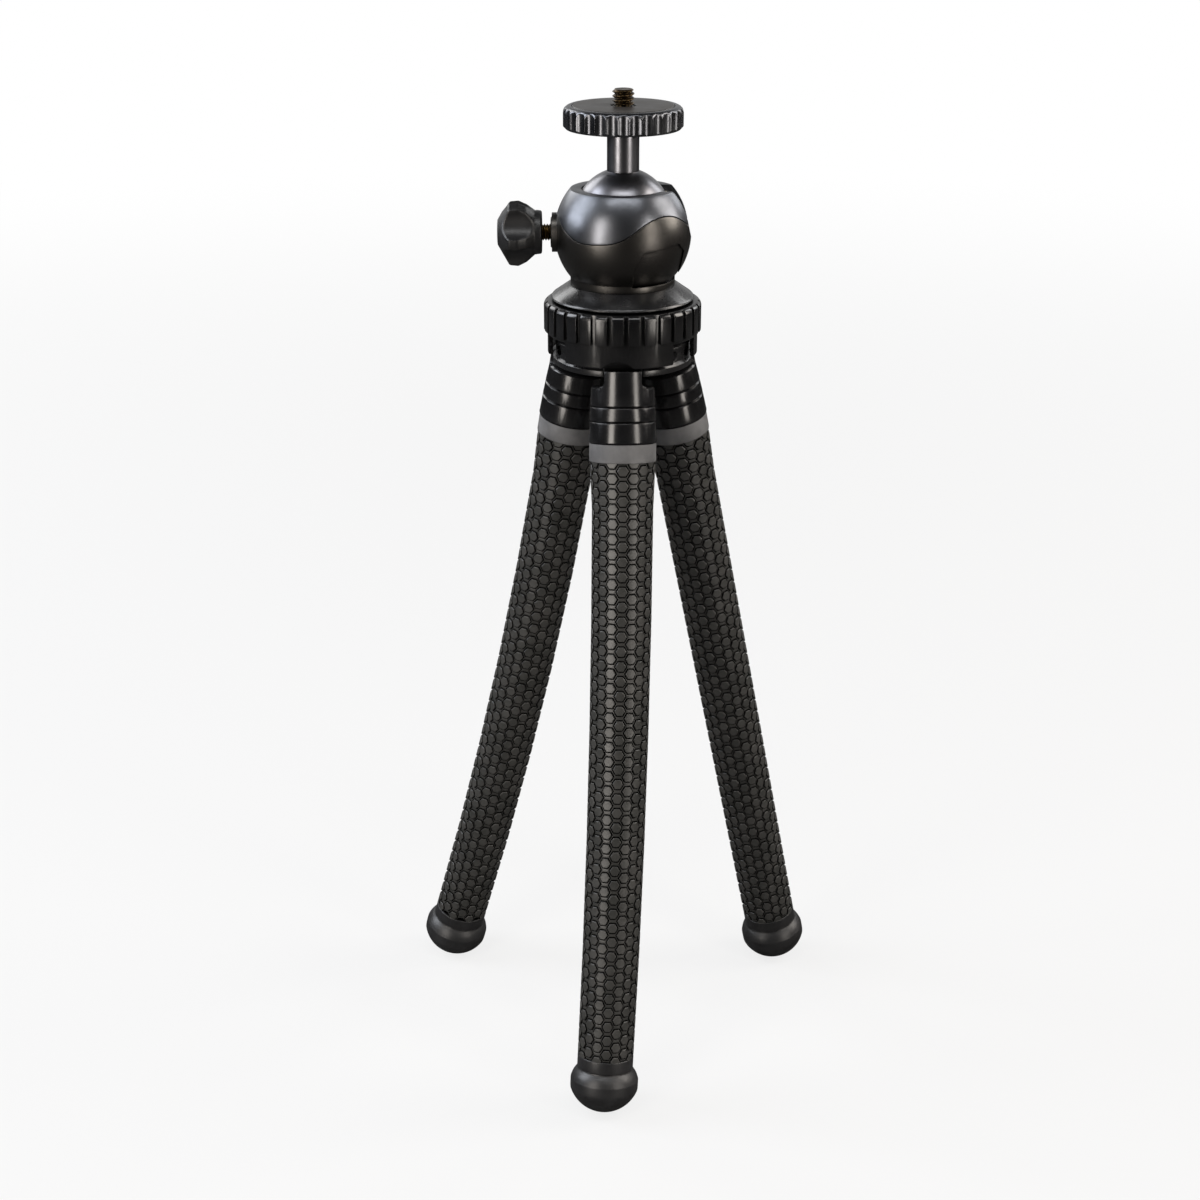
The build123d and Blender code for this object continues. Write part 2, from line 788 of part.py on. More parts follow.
def make_lock_ring():
    """The ring: a ribbed band with a rounded shoulder over a skirt with notches and arches."""
    shoulder = ring_radius - ring_top_radius
    zero = first_leg_azimuth + 180 / leg_count + ring_rest_turn
    notch_half = tongue_half_width + tongue_clearance
    stops = [
        stop_sector(hub_neck_radius + ring_clearance, skirt_bore_radius + skirt_wall / 2,
                    stop_bottom, ring_flange_bottom,
                    zero + 360 * leg / leg_count - stop_span, stop_span - stop_play)
        for leg in range(leg_count)
    ]
    with BuildPart() as ring:
        with BuildSketch(Plane.XZ):
            with BuildLine():
                Polyline(
                    (ring_radius, ring_top - shoulder),
                    (ring_radius, ring_band_bottom),
                    (skirt_radius, ring_band_bottom),
                    (skirt_radius, skirt_bottom),
                    (skirt_bore_radius, skirt_bottom),
                    (skirt_bore_radius, ring_flange_bottom),
                    (ring_bore_radius, ring_flange_bottom),
                    (ring_bore_radius, ring_top),
                    (ring_top_radius, ring_top),
                )
                CenterArc((ring_top_radius, ring_top - shoulder), shoulder, 0, 90)
            make_face()
        revolve(axis=Axis.Z)
        chamfer(ring.edges().group_by(Axis.Z)[0], skirt_edge_round)
        with BuildSketch(Plane.XY.offset(ring_band_bottom)):
            with PolarLocations(skirt_radius, rib_count, start_angle=zero + 180 / rib_count):
                Rectangle(ring_radius, rib_gap, align=(Align.MIN, Align.CENTER))
        extrude(amount=ring_band_height, mode=Mode.SUBTRACT)
        add(stops)
        for leg in range(leg_count):
            middle = zero + 360 * leg / leg_count
            with BuildSketch(side_plane(middle).offset(hub_neck_radius)):
                with Locations((0, skirt_bottom - overrun)):
                    Rectangle(2 * notch_half, overrun + notch_height, align=(Align.CENTER, Align.MIN))
            extrude(amount=ring_radius, mode=Mode.SUBTRACT)
            with BuildSketch(side_plane(middle - 180 / leg_count).offset(hub_neck_radius)):
                with Locations((0, skirt_bottom + arch_height - arch_radius)):
                    Circle(arch_radius)
            extrude(amount=ring_radius, mode=Mode.SUBTRACT)
    return ring.part


def make_tongue():
    """The tongue round the origin, flared into the cap's shoulder and as round as the cap outside."""
    top = -cap_drops[0]
    foot_half = tongue_half_width + tongue_fillet
    with BuildPart() as tongue:
        with BuildSketch(Plane.YZ.offset(-tongue_back)):
            with BuildLine():
                RadiusArc((foot_half, top), (tongue_half_width, top + tongue_fillet), tongue_fillet)
                RadiusArc((-tongue_half_width, top + tongue_fillet), (-foot_half, top), tongue_fillet)
                Polyline((tongue_half_width, top + tongue_fillet), (tongue_half_width, -tongue_ledge_drop),
                         (-tongue_half_width, -tongue_ledge_drop), (-tongue_half_width, top + tongue_fillet))
                Polyline((foot_half, top), (foot_half, top - 2 * cap_edge_round),
                         (-foot_half, top - 2 * cap_edge_round), (-foot_half, top))
            make_face()
        extrude(amount=tongue_back + cap_radii[0])
        with Locations((0, 0, top)):
            Cylinder(cap_radii[0], 2 * cap_drops[0], mode=Mode.INTERSECT)
    return tongue.part


def make_leg_cap():
    """A leg's cap round the origin: three banded cones, a knuckle on a tongue, and the core's bore."""
    top, first, second, bottom = (-drop for drop in cap_drops)
    top_radius, first_radius, second_radius, bottom_radius = cap_radii
    half = groove_width / 2
    tongue = make_tongue()
    with BuildPart() as cap:
        with BuildSketch(Plane.XZ):
            with BuildLine():
                Polyline(
                    (0, top),
                    (top_radius - cap_edge_round, top),
                    (top_radius, top - cap_edge_round),
                    (first_radius, first + half),
                    (first_radius - groove_depth, first),
                    (first_radius, first - half),
                    (second_radius, second + half),
                    (second_radius - groove_depth, second),
                    (second_radius, second - half),
                    (bottom_radius, bottom + cap_edge_round),
                    (bottom_radius - cap_edge_round, bottom),
                    (0, bottom),
                    close=True,
                )
            make_face()
        revolve(axis=Axis.Z)
        add(tongue)
        with BuildSketch(Plane.XZ):
            Circle(knuckle_radius)
            with Locations((-tongue_back, 0)):
                Rectangle(2 * knuckle_radius, 2 * knuckle_radius, align=(Align.MIN, Align.CENTER),
                          mode=Mode.INTERSECT)
        extrude(amount=tongue_half_width, both=True)
        with BuildSketch(Plane.XZ):
            Circle(pin_radius + pin_clearance)
        extrude(amount=tongue_half_width + overrun, both=True, mode=Mode.SUBTRACT)
        with BuildSketch(Plane.XY.offset(bottom)):
            Circle(link_radius + core_clearance)
        extrude(amount=cap_drops[-1] - core_grip, mode=Mode.SUBTRACT)
    return cap.part


def make_leg_pin():
    """A leg's hinge pin, along y round the origin."""
    with BuildPart() as pin:
        with BuildSketch(Plane.XZ):
            Circle(pin_radius)
        extrude(amount=pin_half_length, both=True)
    return pin.part


def make_link(top, socket_drop, has_ball):
    """A core link with its upper joint or its leg's pin at the origin, and its socket below."""
    bottom = socket_drop + link_rim_drop
    with BuildPart() as link:
        with BuildSketch(Plane.XY.offset(-top)):
            Circle(link_radius)
        extrude(amount=top - bottom)
        fillet(link.edges(), link_edge_round)
        if has_ball:
            with BuildSketch():
                Circle(link_neck_radius)
            extrude(amount=-top - link_edge_round)
            Sphere(link_ball_radius)
        with Locations((0, 0, -socket_drop)):
            Sphere(link_socket_radius, mode=Mode.SUBTRACT)
    return link.part


def make_end_link(leg):
    """A leg's last link, from its ball into the foot."""
    with BuildPart() as link:
        with BuildSketch(Plane.XY.offset(-link_shoulder_drop)):
            Circle(link_radius)
        extrude(amount=link_shoulder_drop - end_lengths[leg] - core_depth_in_foot)
        fillet(link.edges(), link_edge_round)
        with BuildSketch():
            Circle(link_neck_radius)
        extrude(amount=-link_shoulder_drop - link_edge_round)
        Sphere(link_ball_radius)
    return link.part


def make_foot():
    """A foot round its own centre: a neck, a cone, a straight side and a round sole."""
    side_drop = sqrt(foot_ball_radius**2 - foot_side_radius**2)
    with BuildPart() as foot:
        with BuildSketch(Plane.XZ):
            with BuildLine():
                Polyline(
                    (foot_side_radius, -side_drop),
                    (foot_side_radius, -foot_cone_rise),
                    (foot_neck_radius, foot_neck_rise - foot_neck_length),
                    (foot_neck_radius, foot_neck_rise),
                    (0, foot_neck_rise),
                    (0, -foot_ball_radius),
                )
                side_angle = degrees(asin(side_drop / foot_ball_radius))
                CenterArc((0, 0), foot_ball_radius, -90, 90 - side_angle)
            make_face()
        revolve(axis=Axis.Z)
        with BuildSketch(Plane.XY.offset(foot_neck_rise)):
            Circle(link_radius + core_clearance)
        extrude(amount=-foot_neck_rise - core_depth_in_foot - core_clearance, mode=Mode.SUBTRACT)
    return foot.part


def sleeve_sections(leg):
    """A sleeve's sections from the cap to the foot, each a plane and a radius."""
    top_plane = pin_planes[leg].offset(-cap_drops[-1])
    half_bend = Rotation(-sideways_bows[leg] / bend_count / 2, outward_bows[leg] / bend_count / 2, 0)
    sections = [(top_plane, sleeve_top_radius), (top_plane.offset(-sleeve_band_length), sleeve_top_radius)]
    for joint, plane in enumerate(bend_planes[leg]):
        share = joint / bend_count
        radius = sleeve_upper_radius + (sleeve_lower_radius - sleeve_upper_radius) * share
        sections.append((Plane(plane.location * half_bend), radius))
    sections.append((foot_planes[leg].offset(foot_neck_rise), sleeve_lower_radius))
    return sections


def make_sleeve(leg):
    """A leg's rubber sleeve over its core, from the cap to the foot."""
    sections = sleeve_sections(leg)
    with BuildPart() as sleeve:
        for plane, radius in sections:
            with BuildSketch(plane):
                Circle(radius)
        loft(ruled=True)
        for plane, radius in sections:
            with BuildSketch(plane):
                Circle(sleeve_bore_radius)
        loft(ruled=True, mode=Mode.SUBTRACT)
    return sleeve.part


os.makedirs("parts", exist_ok=True)

housing_upper, housing_lower = make_housing_shells()
pieces = {
    "camera_screw": make_camera_screw(),
    "platform_wheel": make_platform_wheel(),
    "platform_pad": make_platform_pad(),
    "ball_stem": make_ball_stem(),
    "ball_liner": make_ball_liner(),
    "ball_seat": make_ball_ring(ball_bore_radius, seat_outer_radius, seat_from_angle, seat_to_angle),
    "housing_upper": housing_upper,
    "housing_lower": housing_lower,
    "clamp_bushing": make_clamp_bushing(),
    "clamp_shoe": make_clamp_shoe(),
    "clamp_screw": make_clamp_screw(),
    "clamp_knob": make_clamp_knob(),
    "base_plate": make_base_plate(),
    "pan_bolt": make_pan_bolt(),
    "spring_washer": make_spring_washer(),
    "pan_washer": make_pan_washer(),
    "lock_ring": make_lock_ring(),
    "hub": make_hub(),
    "hub_cover": make_hub_cover(),
}
for name, piece in pieces.items():
    keep(piece, name)

leg_cap = make_leg_cap()
leg_pin = make_leg_pin()
first_link = make_link(core_grip, first_joint_drop, False)
middle_link = make_link(link_shoulder_drop, joint_pitch, True)
foot = make_foot()
for leg in range(leg_count):
    number = leg + 1
    keep(place_on(leg_cap, pin_planes[leg]), f"leg_cap_{number}")
    keep(place_on(leg_pin, pin_planes[leg]), f"leg_pin_{number}")
    keep(place_on(first_link, pin_planes[leg]), f"leg_{number}_link_1")
    for joint in range(bend_count - 1):
        keep(place_on(middle_link, bend_planes[leg][joint]), f"leg_{number}_link_{joint + 2}")
    keep(place_on(make_end_link(leg), bend_planes[leg][-1]), f"leg_{number}_link_{bend_count + 1}")
    keep(make_sleeve(leg), f"leg_sleeve_{number}")
    keep(place_on(foot, foot_planes[leg]), f"foot_{number}")
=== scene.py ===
"""A flexible leg tripod with a small ball head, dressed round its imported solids."""

import json
import logging
import math
from dataclasses import dataclass
from enum import Enum
from typing import Callable

import bmesh
import bpy
import numpy as np
from mathutils import Matrix, Vector

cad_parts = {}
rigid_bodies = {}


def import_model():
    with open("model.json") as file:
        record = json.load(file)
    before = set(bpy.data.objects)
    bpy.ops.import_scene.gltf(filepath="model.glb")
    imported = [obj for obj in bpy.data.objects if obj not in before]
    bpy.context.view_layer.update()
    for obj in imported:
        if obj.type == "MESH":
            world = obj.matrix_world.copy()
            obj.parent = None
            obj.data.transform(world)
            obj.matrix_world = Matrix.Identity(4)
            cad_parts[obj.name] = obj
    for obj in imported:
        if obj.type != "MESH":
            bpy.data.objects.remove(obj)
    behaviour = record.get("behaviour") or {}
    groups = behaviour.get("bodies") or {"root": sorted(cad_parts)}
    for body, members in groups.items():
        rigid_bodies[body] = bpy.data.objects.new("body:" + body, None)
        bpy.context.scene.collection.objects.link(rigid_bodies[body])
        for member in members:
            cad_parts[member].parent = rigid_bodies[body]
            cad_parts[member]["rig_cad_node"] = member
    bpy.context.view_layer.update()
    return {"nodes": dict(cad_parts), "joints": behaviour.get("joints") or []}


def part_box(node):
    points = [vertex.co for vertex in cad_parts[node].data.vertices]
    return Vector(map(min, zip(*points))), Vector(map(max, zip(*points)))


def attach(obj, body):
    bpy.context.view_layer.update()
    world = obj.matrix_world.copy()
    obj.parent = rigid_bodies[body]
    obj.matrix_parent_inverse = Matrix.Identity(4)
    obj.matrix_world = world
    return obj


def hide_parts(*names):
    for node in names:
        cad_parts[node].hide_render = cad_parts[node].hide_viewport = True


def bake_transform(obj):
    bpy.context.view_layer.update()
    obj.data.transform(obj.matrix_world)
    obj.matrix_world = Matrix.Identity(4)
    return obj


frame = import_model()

logging.basicConfig(level=logging.INFO, format="%(message)s")
log = logging.getLogger("tripod")

MM = 0.001
# Points of a mesh closer than this are one point. It also keeps a radius that is divided by away from zero
SMALL = 1e-6
# A radius in millimetres that no piece reaches
FAR = 99.0
# Handling marks are some millimetres wide on every finish
MARK_WIDTH = 7.0
# The values of the marks between which the colour and the roughness change
WORN_RANGE = (0.38, 0.66)
ROUGH_RANGE = (0.3, 0.7)
# Painted shade: seams, grooves and joins are darkened, and their reflections dimmed, by how closed in they are
# How near other surfaces count as a recess's walls, in millimetres, and how open its darkest and its plain places are
SHADE_REACH = 1.4
SHADE_RANGE = (0.4, 0.9)
# How much a closed and an open place mirror: a closed place's dimmer reflection is painted shade
SHADED_SHEEN_RANGE = (0.08, 0.5)
# The colour of the painted shade in recesses
PAINTED_SHADE_COLOUR = "#050505"
# The colour of the painted shade and dirt in the sleeve's grooves
GROOVE_SHADE_AND_DIRT_COLOUR = "#070707"
# How far a leg bows outwards and sideways in the photograph, in degrees, by its number
LEG_BOWS = {1: (0.0, -2.8), 2: (0.0, 0.0), 3: (6.4, 0.0)}
Profile = list[tuple[float, float]]


def linear(colour: str) -> tuple[float, float, float, float]:
    """Turns an sRGB hex colour into linear values.

    Args:
        colour: Six hex digits after a hash sign.

    Returns:
        Red, green, blue and a full alpha.
    """
    shares = [int(colour[k:k + 2], 16) / 255 for k in (1, 3, 5)]
    turned = [s / 12.92 if s <= 0.04045 else ((s + 0.055) / 1.055) ** 2.4 for s in shares]
    return (*turned, 1.0)


def add_node(tree: bpy.types.NodeTree, kind: str, settings: dict, links: dict) -> bpy.types.Node:
    """Adds a node with its settings and links.

    Args:
        tree: The material's or world's node tree.
        kind: The node's type.
        settings: Values by property name, or by input name or number.
        links: Output sockets by the input's name or number.

    Returns:
        The new node.
    """
    new = tree.nodes.new(kind)
    for key, value in settings.items():
        if isinstance(key, str) and hasattr(new, key):
            setattr(new, key, value)
        else:
            new.inputs[key].default_value = value
    for key, socket in links.items():
        tree.links.new(socket, new.inputs[key])
    return new


class Surface(Enum):
    """How a surface was made, which gives it its pattern."""

    BLASTED = "bead blasted"
    TURNED = "turned on a lathe"
    MOULDED = "moulded with a fine grain"
    STUDDED = "moulded with studs"


@dataclass(frozen=True)
class Finish:
    """One real material with the way it was made.

    Lengths are in millimetres. The grain is the width of the pattern's marks, depth their height, and edge the
    rounding that a worn or moulded edge shows. Second is the colour that wear or dust turns it to.
    """

    name: str
    slot: str
    colour: str
    second: str
    metallic: float
    roughness: float
    spread: float
    ior: float
    surface: Surface
    grain: float
    depth: float
    edge: float

    def material(self) -> bpy.types.Material:
        """Builds the material once, and gives the same one after that.

        Returns:
            The material.
        """
        found = bpy.data.materials.get(self.name)
        if found is not None:
            return found
        made = bpy.data.materials.new(self.name)
        made.use_nodes = True
        tree = made.node_tree
        shader = tree.nodes["Principled BSDF"]
        shader.inputs["Metallic"].default_value = self.metallic
        if self.metallic < 0.5:
            shader.inputs["IOR"].default_value = self.ior
        place = add_node(tree, "ShaderNodeTexCoord", {}, {}).outputs["Object"]
        marks = add_node(tree, "ShaderNodeTexNoise", {"Scale": 1 / (MARK_WIDTH * MM), "Detail": 4.0},
                         {"Vector": place})
        worn = add_node(tree, "ShaderNodeMapRange", {1: WORN_RANGE[0], 2: WORN_RANGE[1], 3: 0.0, 4: 1.0},
                        {0: marks.outputs[0]})
        tone = add_node(tree, "ShaderNodeMix", {"data_type": "RGBA", 6: linear(self.colour), 7: linear(self.second)},
                        {0: worn.outputs[0]}).outputs[2]
        height = self.grain_height(tree, place)
        # Studded rubber gets painted shade and dirt in its grooves
        if self.surface is Surface.STUDDED:
            tone = self.groove_shade_and_dirt(tree, tone)
        # Seams, grooves and joins get painted shade and hold some dust, so they are darker and mirror less than the
        # open surface
        occlusion = add_node(tree, "ShaderNodeAmbientOcclusion", {"samples": 6, "Distance": SHADE_REACH * MM}, {})
        unshaded_share = add_node(tree, "ShaderNodeMapRange", {1: SHADE_RANGE[0], 2: SHADE_RANGE[1], 3: 0.0, 4: 1.0},
                              {0: occlusion.outputs["AO"]})
        # Painted shade dims the reflection where a place is closed in
        shaded_sheen = add_node(tree, "ShaderNodeMapRange", {1: 0.0, 2: 1.0, 3: SHADED_SHEEN_RANGE[0], 4: SHADED_SHEEN_RANGE[1]},
                         {0: unshaded_share.outputs[0]})
        tree.links.new(shaded_sheen.outputs[0], shader.inputs["Specular IOR Level"])
        # Painted shade darkens the colour where a place is closed in
        tone = add_node(tree, "ShaderNodeMix", {"data_type": "RGBA", 6: linear(PAINTED_SHADE_COLOUR)},
                        {0: unshaded_share.outputs[0], 7: tone}).outputs[2]
        tree.links.new(tone, shader.inputs["Base Color"])
        rough = add_node(tree, "ShaderNodeMapRange",
                         {1: ROUGH_RANGE[0], 2: ROUGH_RANGE[1], 3: self.roughness - self.spread,
                          4: self.roughness + self.spread},
                         {0: marks.outputs[0]})
        tree.links.new(rough.outputs[0], shader.inputs["Roughness"])
        edge = add_node(tree, "ShaderNodeBevel", {"samples": 4, "Radius": self.edge * MM}, {})
        bump = add_node(tree, "ShaderNodeBump", {"Strength": 1.0, "Distance": self.depth * MM},
                        {"Height": height, "Normal": edge.outputs[0]})
        tree.links.new(bump.outputs[0], shader.inputs["Normal"])
        return made

    def grain_height(self, tree: bpy.types.NodeTree, place: bpy.types.NodeSocket) -> bpy.types.NodeSocket:
        """Adds the pattern that the making left.

        Args:
            tree: The material's node tree.
            place: Object coordinates.

        Returns:
            The socket with the pattern's height.
        """
        if self.surface is Surface.TURNED:
            # A lathe's feed marks run round the axis. Real ones are finer, and these are as fine as a picture shows
            wave_length = 3.2 * self.grain
            rings = add_node(tree, "ShaderNodeTexWave",
                             {"wave_type": "RINGS", "rings_direction": "Z", "Scale": 1 / (wave_length * MM),
                              "Distortion": 0.4, "Detail": 1.0},
                             {"Vector": place})
            return rings.outputs["Fac"]
        grain = add_node(tree, "ShaderNodeTexNoise",
                         {"Scale": 1 / (self.grain * MM), "Detail": 2.0, "Roughness": 0.6}, {"Vector": place})
        return grain.outputs[0]

    def groove_shade_and_dirt(self, tree: bpy.types.NodeTree, tone: bpy.types.NodeSocket) -> bpy.types.NodeSocket:
        """Darkens the grooves round the studs with painted shade, and with dirt where the rubber isn't polished by
        hands.

        Args:
            tree: The material's node tree.
            tone: The rubber's colour.

        Returns:
            The socket with the colour for studs, web and grooves.
        """
        level = add_node(tree, "ShaderNodeAttribute", {"attribute_name": "stud_level"}, {})
        return add_node(tree, "ShaderNodeMix", {"data_type": "RGBA", 6: linear(GROOVE_SHADE_AND_DIRT_COLOUR)},
                        {0: level.outputs["Fac"], 7: tone}).outputs[2]


# Thread-rolled brass, dulled by handling: warm, with soft reflections
BRASS = Finish("dulled_brass", "brass", "#c9ab70", "#8f7749", 1.0, 0.3, 0.08, 1.5, Surface.BLASTED, 0.3, 0.004, 0.05)
# The camera stud is browner and darker, with light only on its crests
BRONZE = Finish("dark_bronze_plate", "brass", "#5a4a33", "#3a2f20", 1.0, 0.34, 0.08, 1.5,
                Surface.BLASTED, 0.3, 0.004, 0.05)
# Anodised aluminium, turned: mid grey, with crisp bright edges on the flutes
WHEEL_METAL = Finish("anodised_wheel_aluminium", "wheel_metal", "#545559", "#606164", 1.0, 0.28, 0.04, 1.5,
                     Surface.BLASTED, 0.35, 0.004, 0.12)
# Smooth thin rubber pad: a wide soft sheen
PAD_RUBBER = Finish("smooth_pad_rubber", "pad_rubber", "#262422", "#302d2a", 0.0, 0.4, 0.06, 1.52,
                    Surface.MOULDED, 0.5, 0.006, 0.15)
# Satin turned aluminium, grey anodised: soft upright bands of light
STEM_METAL = Finish("satin_turned_aluminium", "stem_metal", "#76767a", "#6c6c70", 1.0, 0.3, 0.04, 1.5,
                    Surface.BLASTED, 0.3, 0.003, 0.1)
# Natural nylon: milky and dull
NYLON = Finish("natural_nylon", "nylon", "#d8d5cb", "#c9c5b8", 0.0, 0.5, 0.08, 1.53, Surface.MOULDED, 0.6, 0.01, 0.1)
# Die-cast aluminium, blasted and anodised gunmetal: wide soft highlights
SHELL_METAL = Finish("blasted_gunmetal_aluminium", "shell_metal", "#606267", "#55575b", 1.0, 0.33, 0.04, 1.5,
                     Surface.BLASTED, 0.28, 0.01, 0.15)
# The lower shell is the same gunmetal, a little browner; its darker colour is painted shade, as it faces away from the
# lights
SHADED_LOWER_METAL = Finish("blasted_bronze_grey_aluminium", "shell_metal", "#504e4b", "#464442", 1.0, 0.34, 0.04, 1.5,
                     Surface.BLASTED, 0.28, 0.01, 0.15)
# Glass-filled nylon with a fine matte grain: black, with a faint wide sheen
KNOB_PLASTIC = Finish("matte_glass_filled_nylon", "knob_plastic", "#0a0a0b", "#101011", 0.0, 0.42, 0.05, 1.53,
                      Surface.MOULDED, 0.35, 0.012, 0.25)
# Satin ABS: black, with soft bands of light along the cone
PLATE_PLASTIC = Finish("satin_abs_plate", "plate_plastic", "#101011", "#161617", 0.0, 0.25, 0.04, 1.54,
                       Surface.MOULDED, 0.3, 0.005, 0.2)
# The same ABS from a smoother mould: a narrow bright line on each rib
RING_PLASTIC = Finish("satin_abs_ring", "ring_plastic", "#0c0c0d", "#111112", 0.0, 0.22, 0.04, 1.54,
                      Surface.MOULDED, 0.3, 0.003, 0.22)
# The hub's ABS is duller than the ring's, and mostly in its shade
HUB_PLASTIC = Finish("satin_abs_hub", "hub_plastic", "#0c0c0d", "#121213", 0.0, 0.28, 0.04, 1.54,
                     Surface.MOULDED, 0.3, 0.004, 0.2)
# ABS from a polished mould: black, with upright bands of light
CAP_PLASTIC = Finish("glossy_abs_cap", "cap_plastic", "#0d0d0e", "#121213", 0.0, 0.21, 0.03, 1.54,
                     Surface.MOULDED, 0.4, 0.002, 0.2)
# Moulded thermoplastic rubber: a low sheen on the studs, with painted shade and dirt in the grooves
SLEEVE_RUBBER = Finish("studded_sleeve_rubber", "sleeve_rubber", "#2b2b29", "#363533", 0.0, 0.38, 0.05, 1.52,
                       Surface.STUDDED, 0.5, 0.02, 0.12)
# The same rubber without studs, with a spark-eroded grain: dull and greyer
BAND_RUBBER = Finish("grained_band_rubber", "sleeve_rubber", "#484849", "#5c5c5d", 0.0, 0.6, 0.05, 1.52,
                     Surface.MOULDED, 0.7, 0.07, 0.15)
# Harder rubber, smoothly moulded: darker, with a soft sheen
FOOT_RUBBER = Finish("smooth_foot_rubber", "foot_rubber", "#171718", "#1e1e1f", 0.0, 0.42, 0.06, 1.52,
                     Surface.MOULDED, 0.4, 0.008, 0.2)
# Bare turned aluminium of the core: bright, with feed marks
CORE_METAL = Finish("turned_core_aluminium", "core_metal", "#c9cacc", "#b8b9bb", 1.0, 0.3, 0.06, 1.5,
                    Surface.TURNED, 0.5, 0.006, 0.1)
# Zinc plated steel: bluish and bright
STEEL = Finish("zinc_plated_steel", "steel", "#b9bcc2", "#a6a9ae", 1.0, 0.28, 0.07, 1.5, Surface.BLASTED, 0.3, 0.003,
               0.08)


def dress(piece: bpy.types.Object, finish: Finish) -> None:
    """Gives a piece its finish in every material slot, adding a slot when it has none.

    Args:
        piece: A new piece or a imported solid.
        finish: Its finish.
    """
    material = finish.material()
    if len(piece.material_slots) == 0:
        piece.data.materials.append(material)
    for held in piece.material_slots:
        held.material = material
    log.info("%s: %s, %d faces", piece.name, finish.name, len(piece.data.polygons))


class Bench:
    """The modelling steps that the sub-assemblies share. Sizes are in millimetres, meshes in metres."""

    @staticmethod
    def clear() -> None:
        """Deselects every object."""
        bpy.ops.object.select_all(action="DESELECT")

    @staticmethod
    def rounded(corners: list[tuple[float, float, float]], step: float = 15.0) -> Profile:
        """Rounds the corners of a profile.

        Args:
            corners: Radius, height and corner radius of each corner.
            step: The angle between the points of an arc, in degrees.

        Returns:
            The profile's points.
        """
        points: Profile = []
        count = len(corners)
        for index, (r, z, size) in enumerate(corners):
            here = Vector((r, z))
            before = Vector(corners[index - 1][:2]) - here
            after = Vector(corners[(index + 1) % count][:2]) - here
            if size <= 0:
                points.append((r, z))
                continue
            before.normalize()
            after.normalize()
            half = before.angle(after) / 2
            reach = size / math.tan(half)
            centre = here + (before + after).normalized() * (size / math.sin(half))
            first = here + before * reach - centre
            last = here + after * reach - centre
            sweep = first.angle_signed(last)
            steps = max(2, int(abs(math.degrees(sweep)) / step))
            for k in range(steps + 1):
                turned = Matrix.Rotation(-sweep * k / steps, 2) @ first
                points.append(tuple(centre + turned))
        return points

    @staticmethod
    def refined(profile: Profile, spacing: float) -> Profile:
        """Divides a closed profile's long runs.

        Args:
            profile: The profile's points.
            spacing: The longest run that is left.

        Returns:
            The profile with more points.
        """
        points: Profile = []
        for index, (r, z) in enumerate(profile):
            r_next, z_next = profile[(index + 1) % len(profile)]
            pieces = max(1, math.ceil(math.hypot(r_next - r, z_next - z) / spacing))
            points += [(r + (r_next - r) * k / pieces, z + (z_next - z) * k / pieces) for k in range(pieces)]
        return points

    @staticmethod
    def lathe(name: str, profile: Profile, steps: int) -> bpy.types.Object:
        """Spins a closed profile round Z into a closed body.

        Args:
            name: The piece's name.
            profile: Radius and height of each point, in order round the section.
            steps: How many steps the turn has.

        Returns:
            The piece.
        """
        Bench.clear()
        start = profile[0]
        bpy.ops.mesh.primitive_plane_add(size=MM, location=(start[0] * MM, 0, start[1] * MM))
        piece = bpy.context.object
        piece.name = name
        piece.data.name = name
        bpy.ops.object.transform_apply(location=True, rotation=True, scale=True)
        bpy.ops.object.mode_set(mode="EDIT")
        bpy.ops.mesh.select_all(action="SELECT")
        bpy.ops.mesh.merge(type="CENTER")
        for (r, z), (r_next, z_next) in zip(profile, profile[1:] + profile[:1]):
            move = ((r_next - r) * MM, 0, (z_next - z) * MM)
            bpy.ops.mesh.extrude_region_move(TRANSFORM_OT_translate={"value": move})
        bpy.ops.mesh.select_all(action="SELECT")
        bpy.ops.mesh.remove_doubles(threshold=SMALL)
        bpy.ops.mesh.select_all(action="SELECT")
        bpy.ops.mesh.spin(steps=steps, angle=2 * math.pi, center=(0, 0, 0), axis=(0, 0, 1))
        Bench.close()
        return piece

    @staticmethod
    def close() -> None:
        """Merges what meets in the mesh being edited, turns its faces outwards and leaves edit mode."""
        bpy.ops.mesh.select_all(action="SELECT")
        bpy.ops.mesh.remove_doubles(threshold=SMALL)
        bpy.ops.mesh.normals_make_consistent(inside=False)
        bpy.ops.object.mode_set(mode="OBJECT")

    @staticmethod
    def reshape(piece: bpy.types.Object, move: Callable[[np.ndarray], np.ndarray]) -> None:
        """Moves all points of a piece by one rule.

        Args:
            piece: The piece.
            move: Takes and returns the points, in millimetres.
        """
        points = np.zeros(len(piece.data.vertices) * 3)
        piece.data.vertices.foreach_get("co", points)
        moved = move(points.reshape(-1, 3) / MM) * MM
        piece.data.vertices.foreach_set("co", moved.ravel())
        piece.data.update()

    @staticmethod
    def smooth(piece: bpy.types.Object, angle: float) -> None:
        """Shades a piece smooth, but for edges sharper than an angle in degrees."""
        Bench.clear()
        piece.select_set(True)
        bpy.context.view_layer.objects.active = piece
        bpy.ops.object.shade_smooth_by_angle(angle=math.radians(angle))


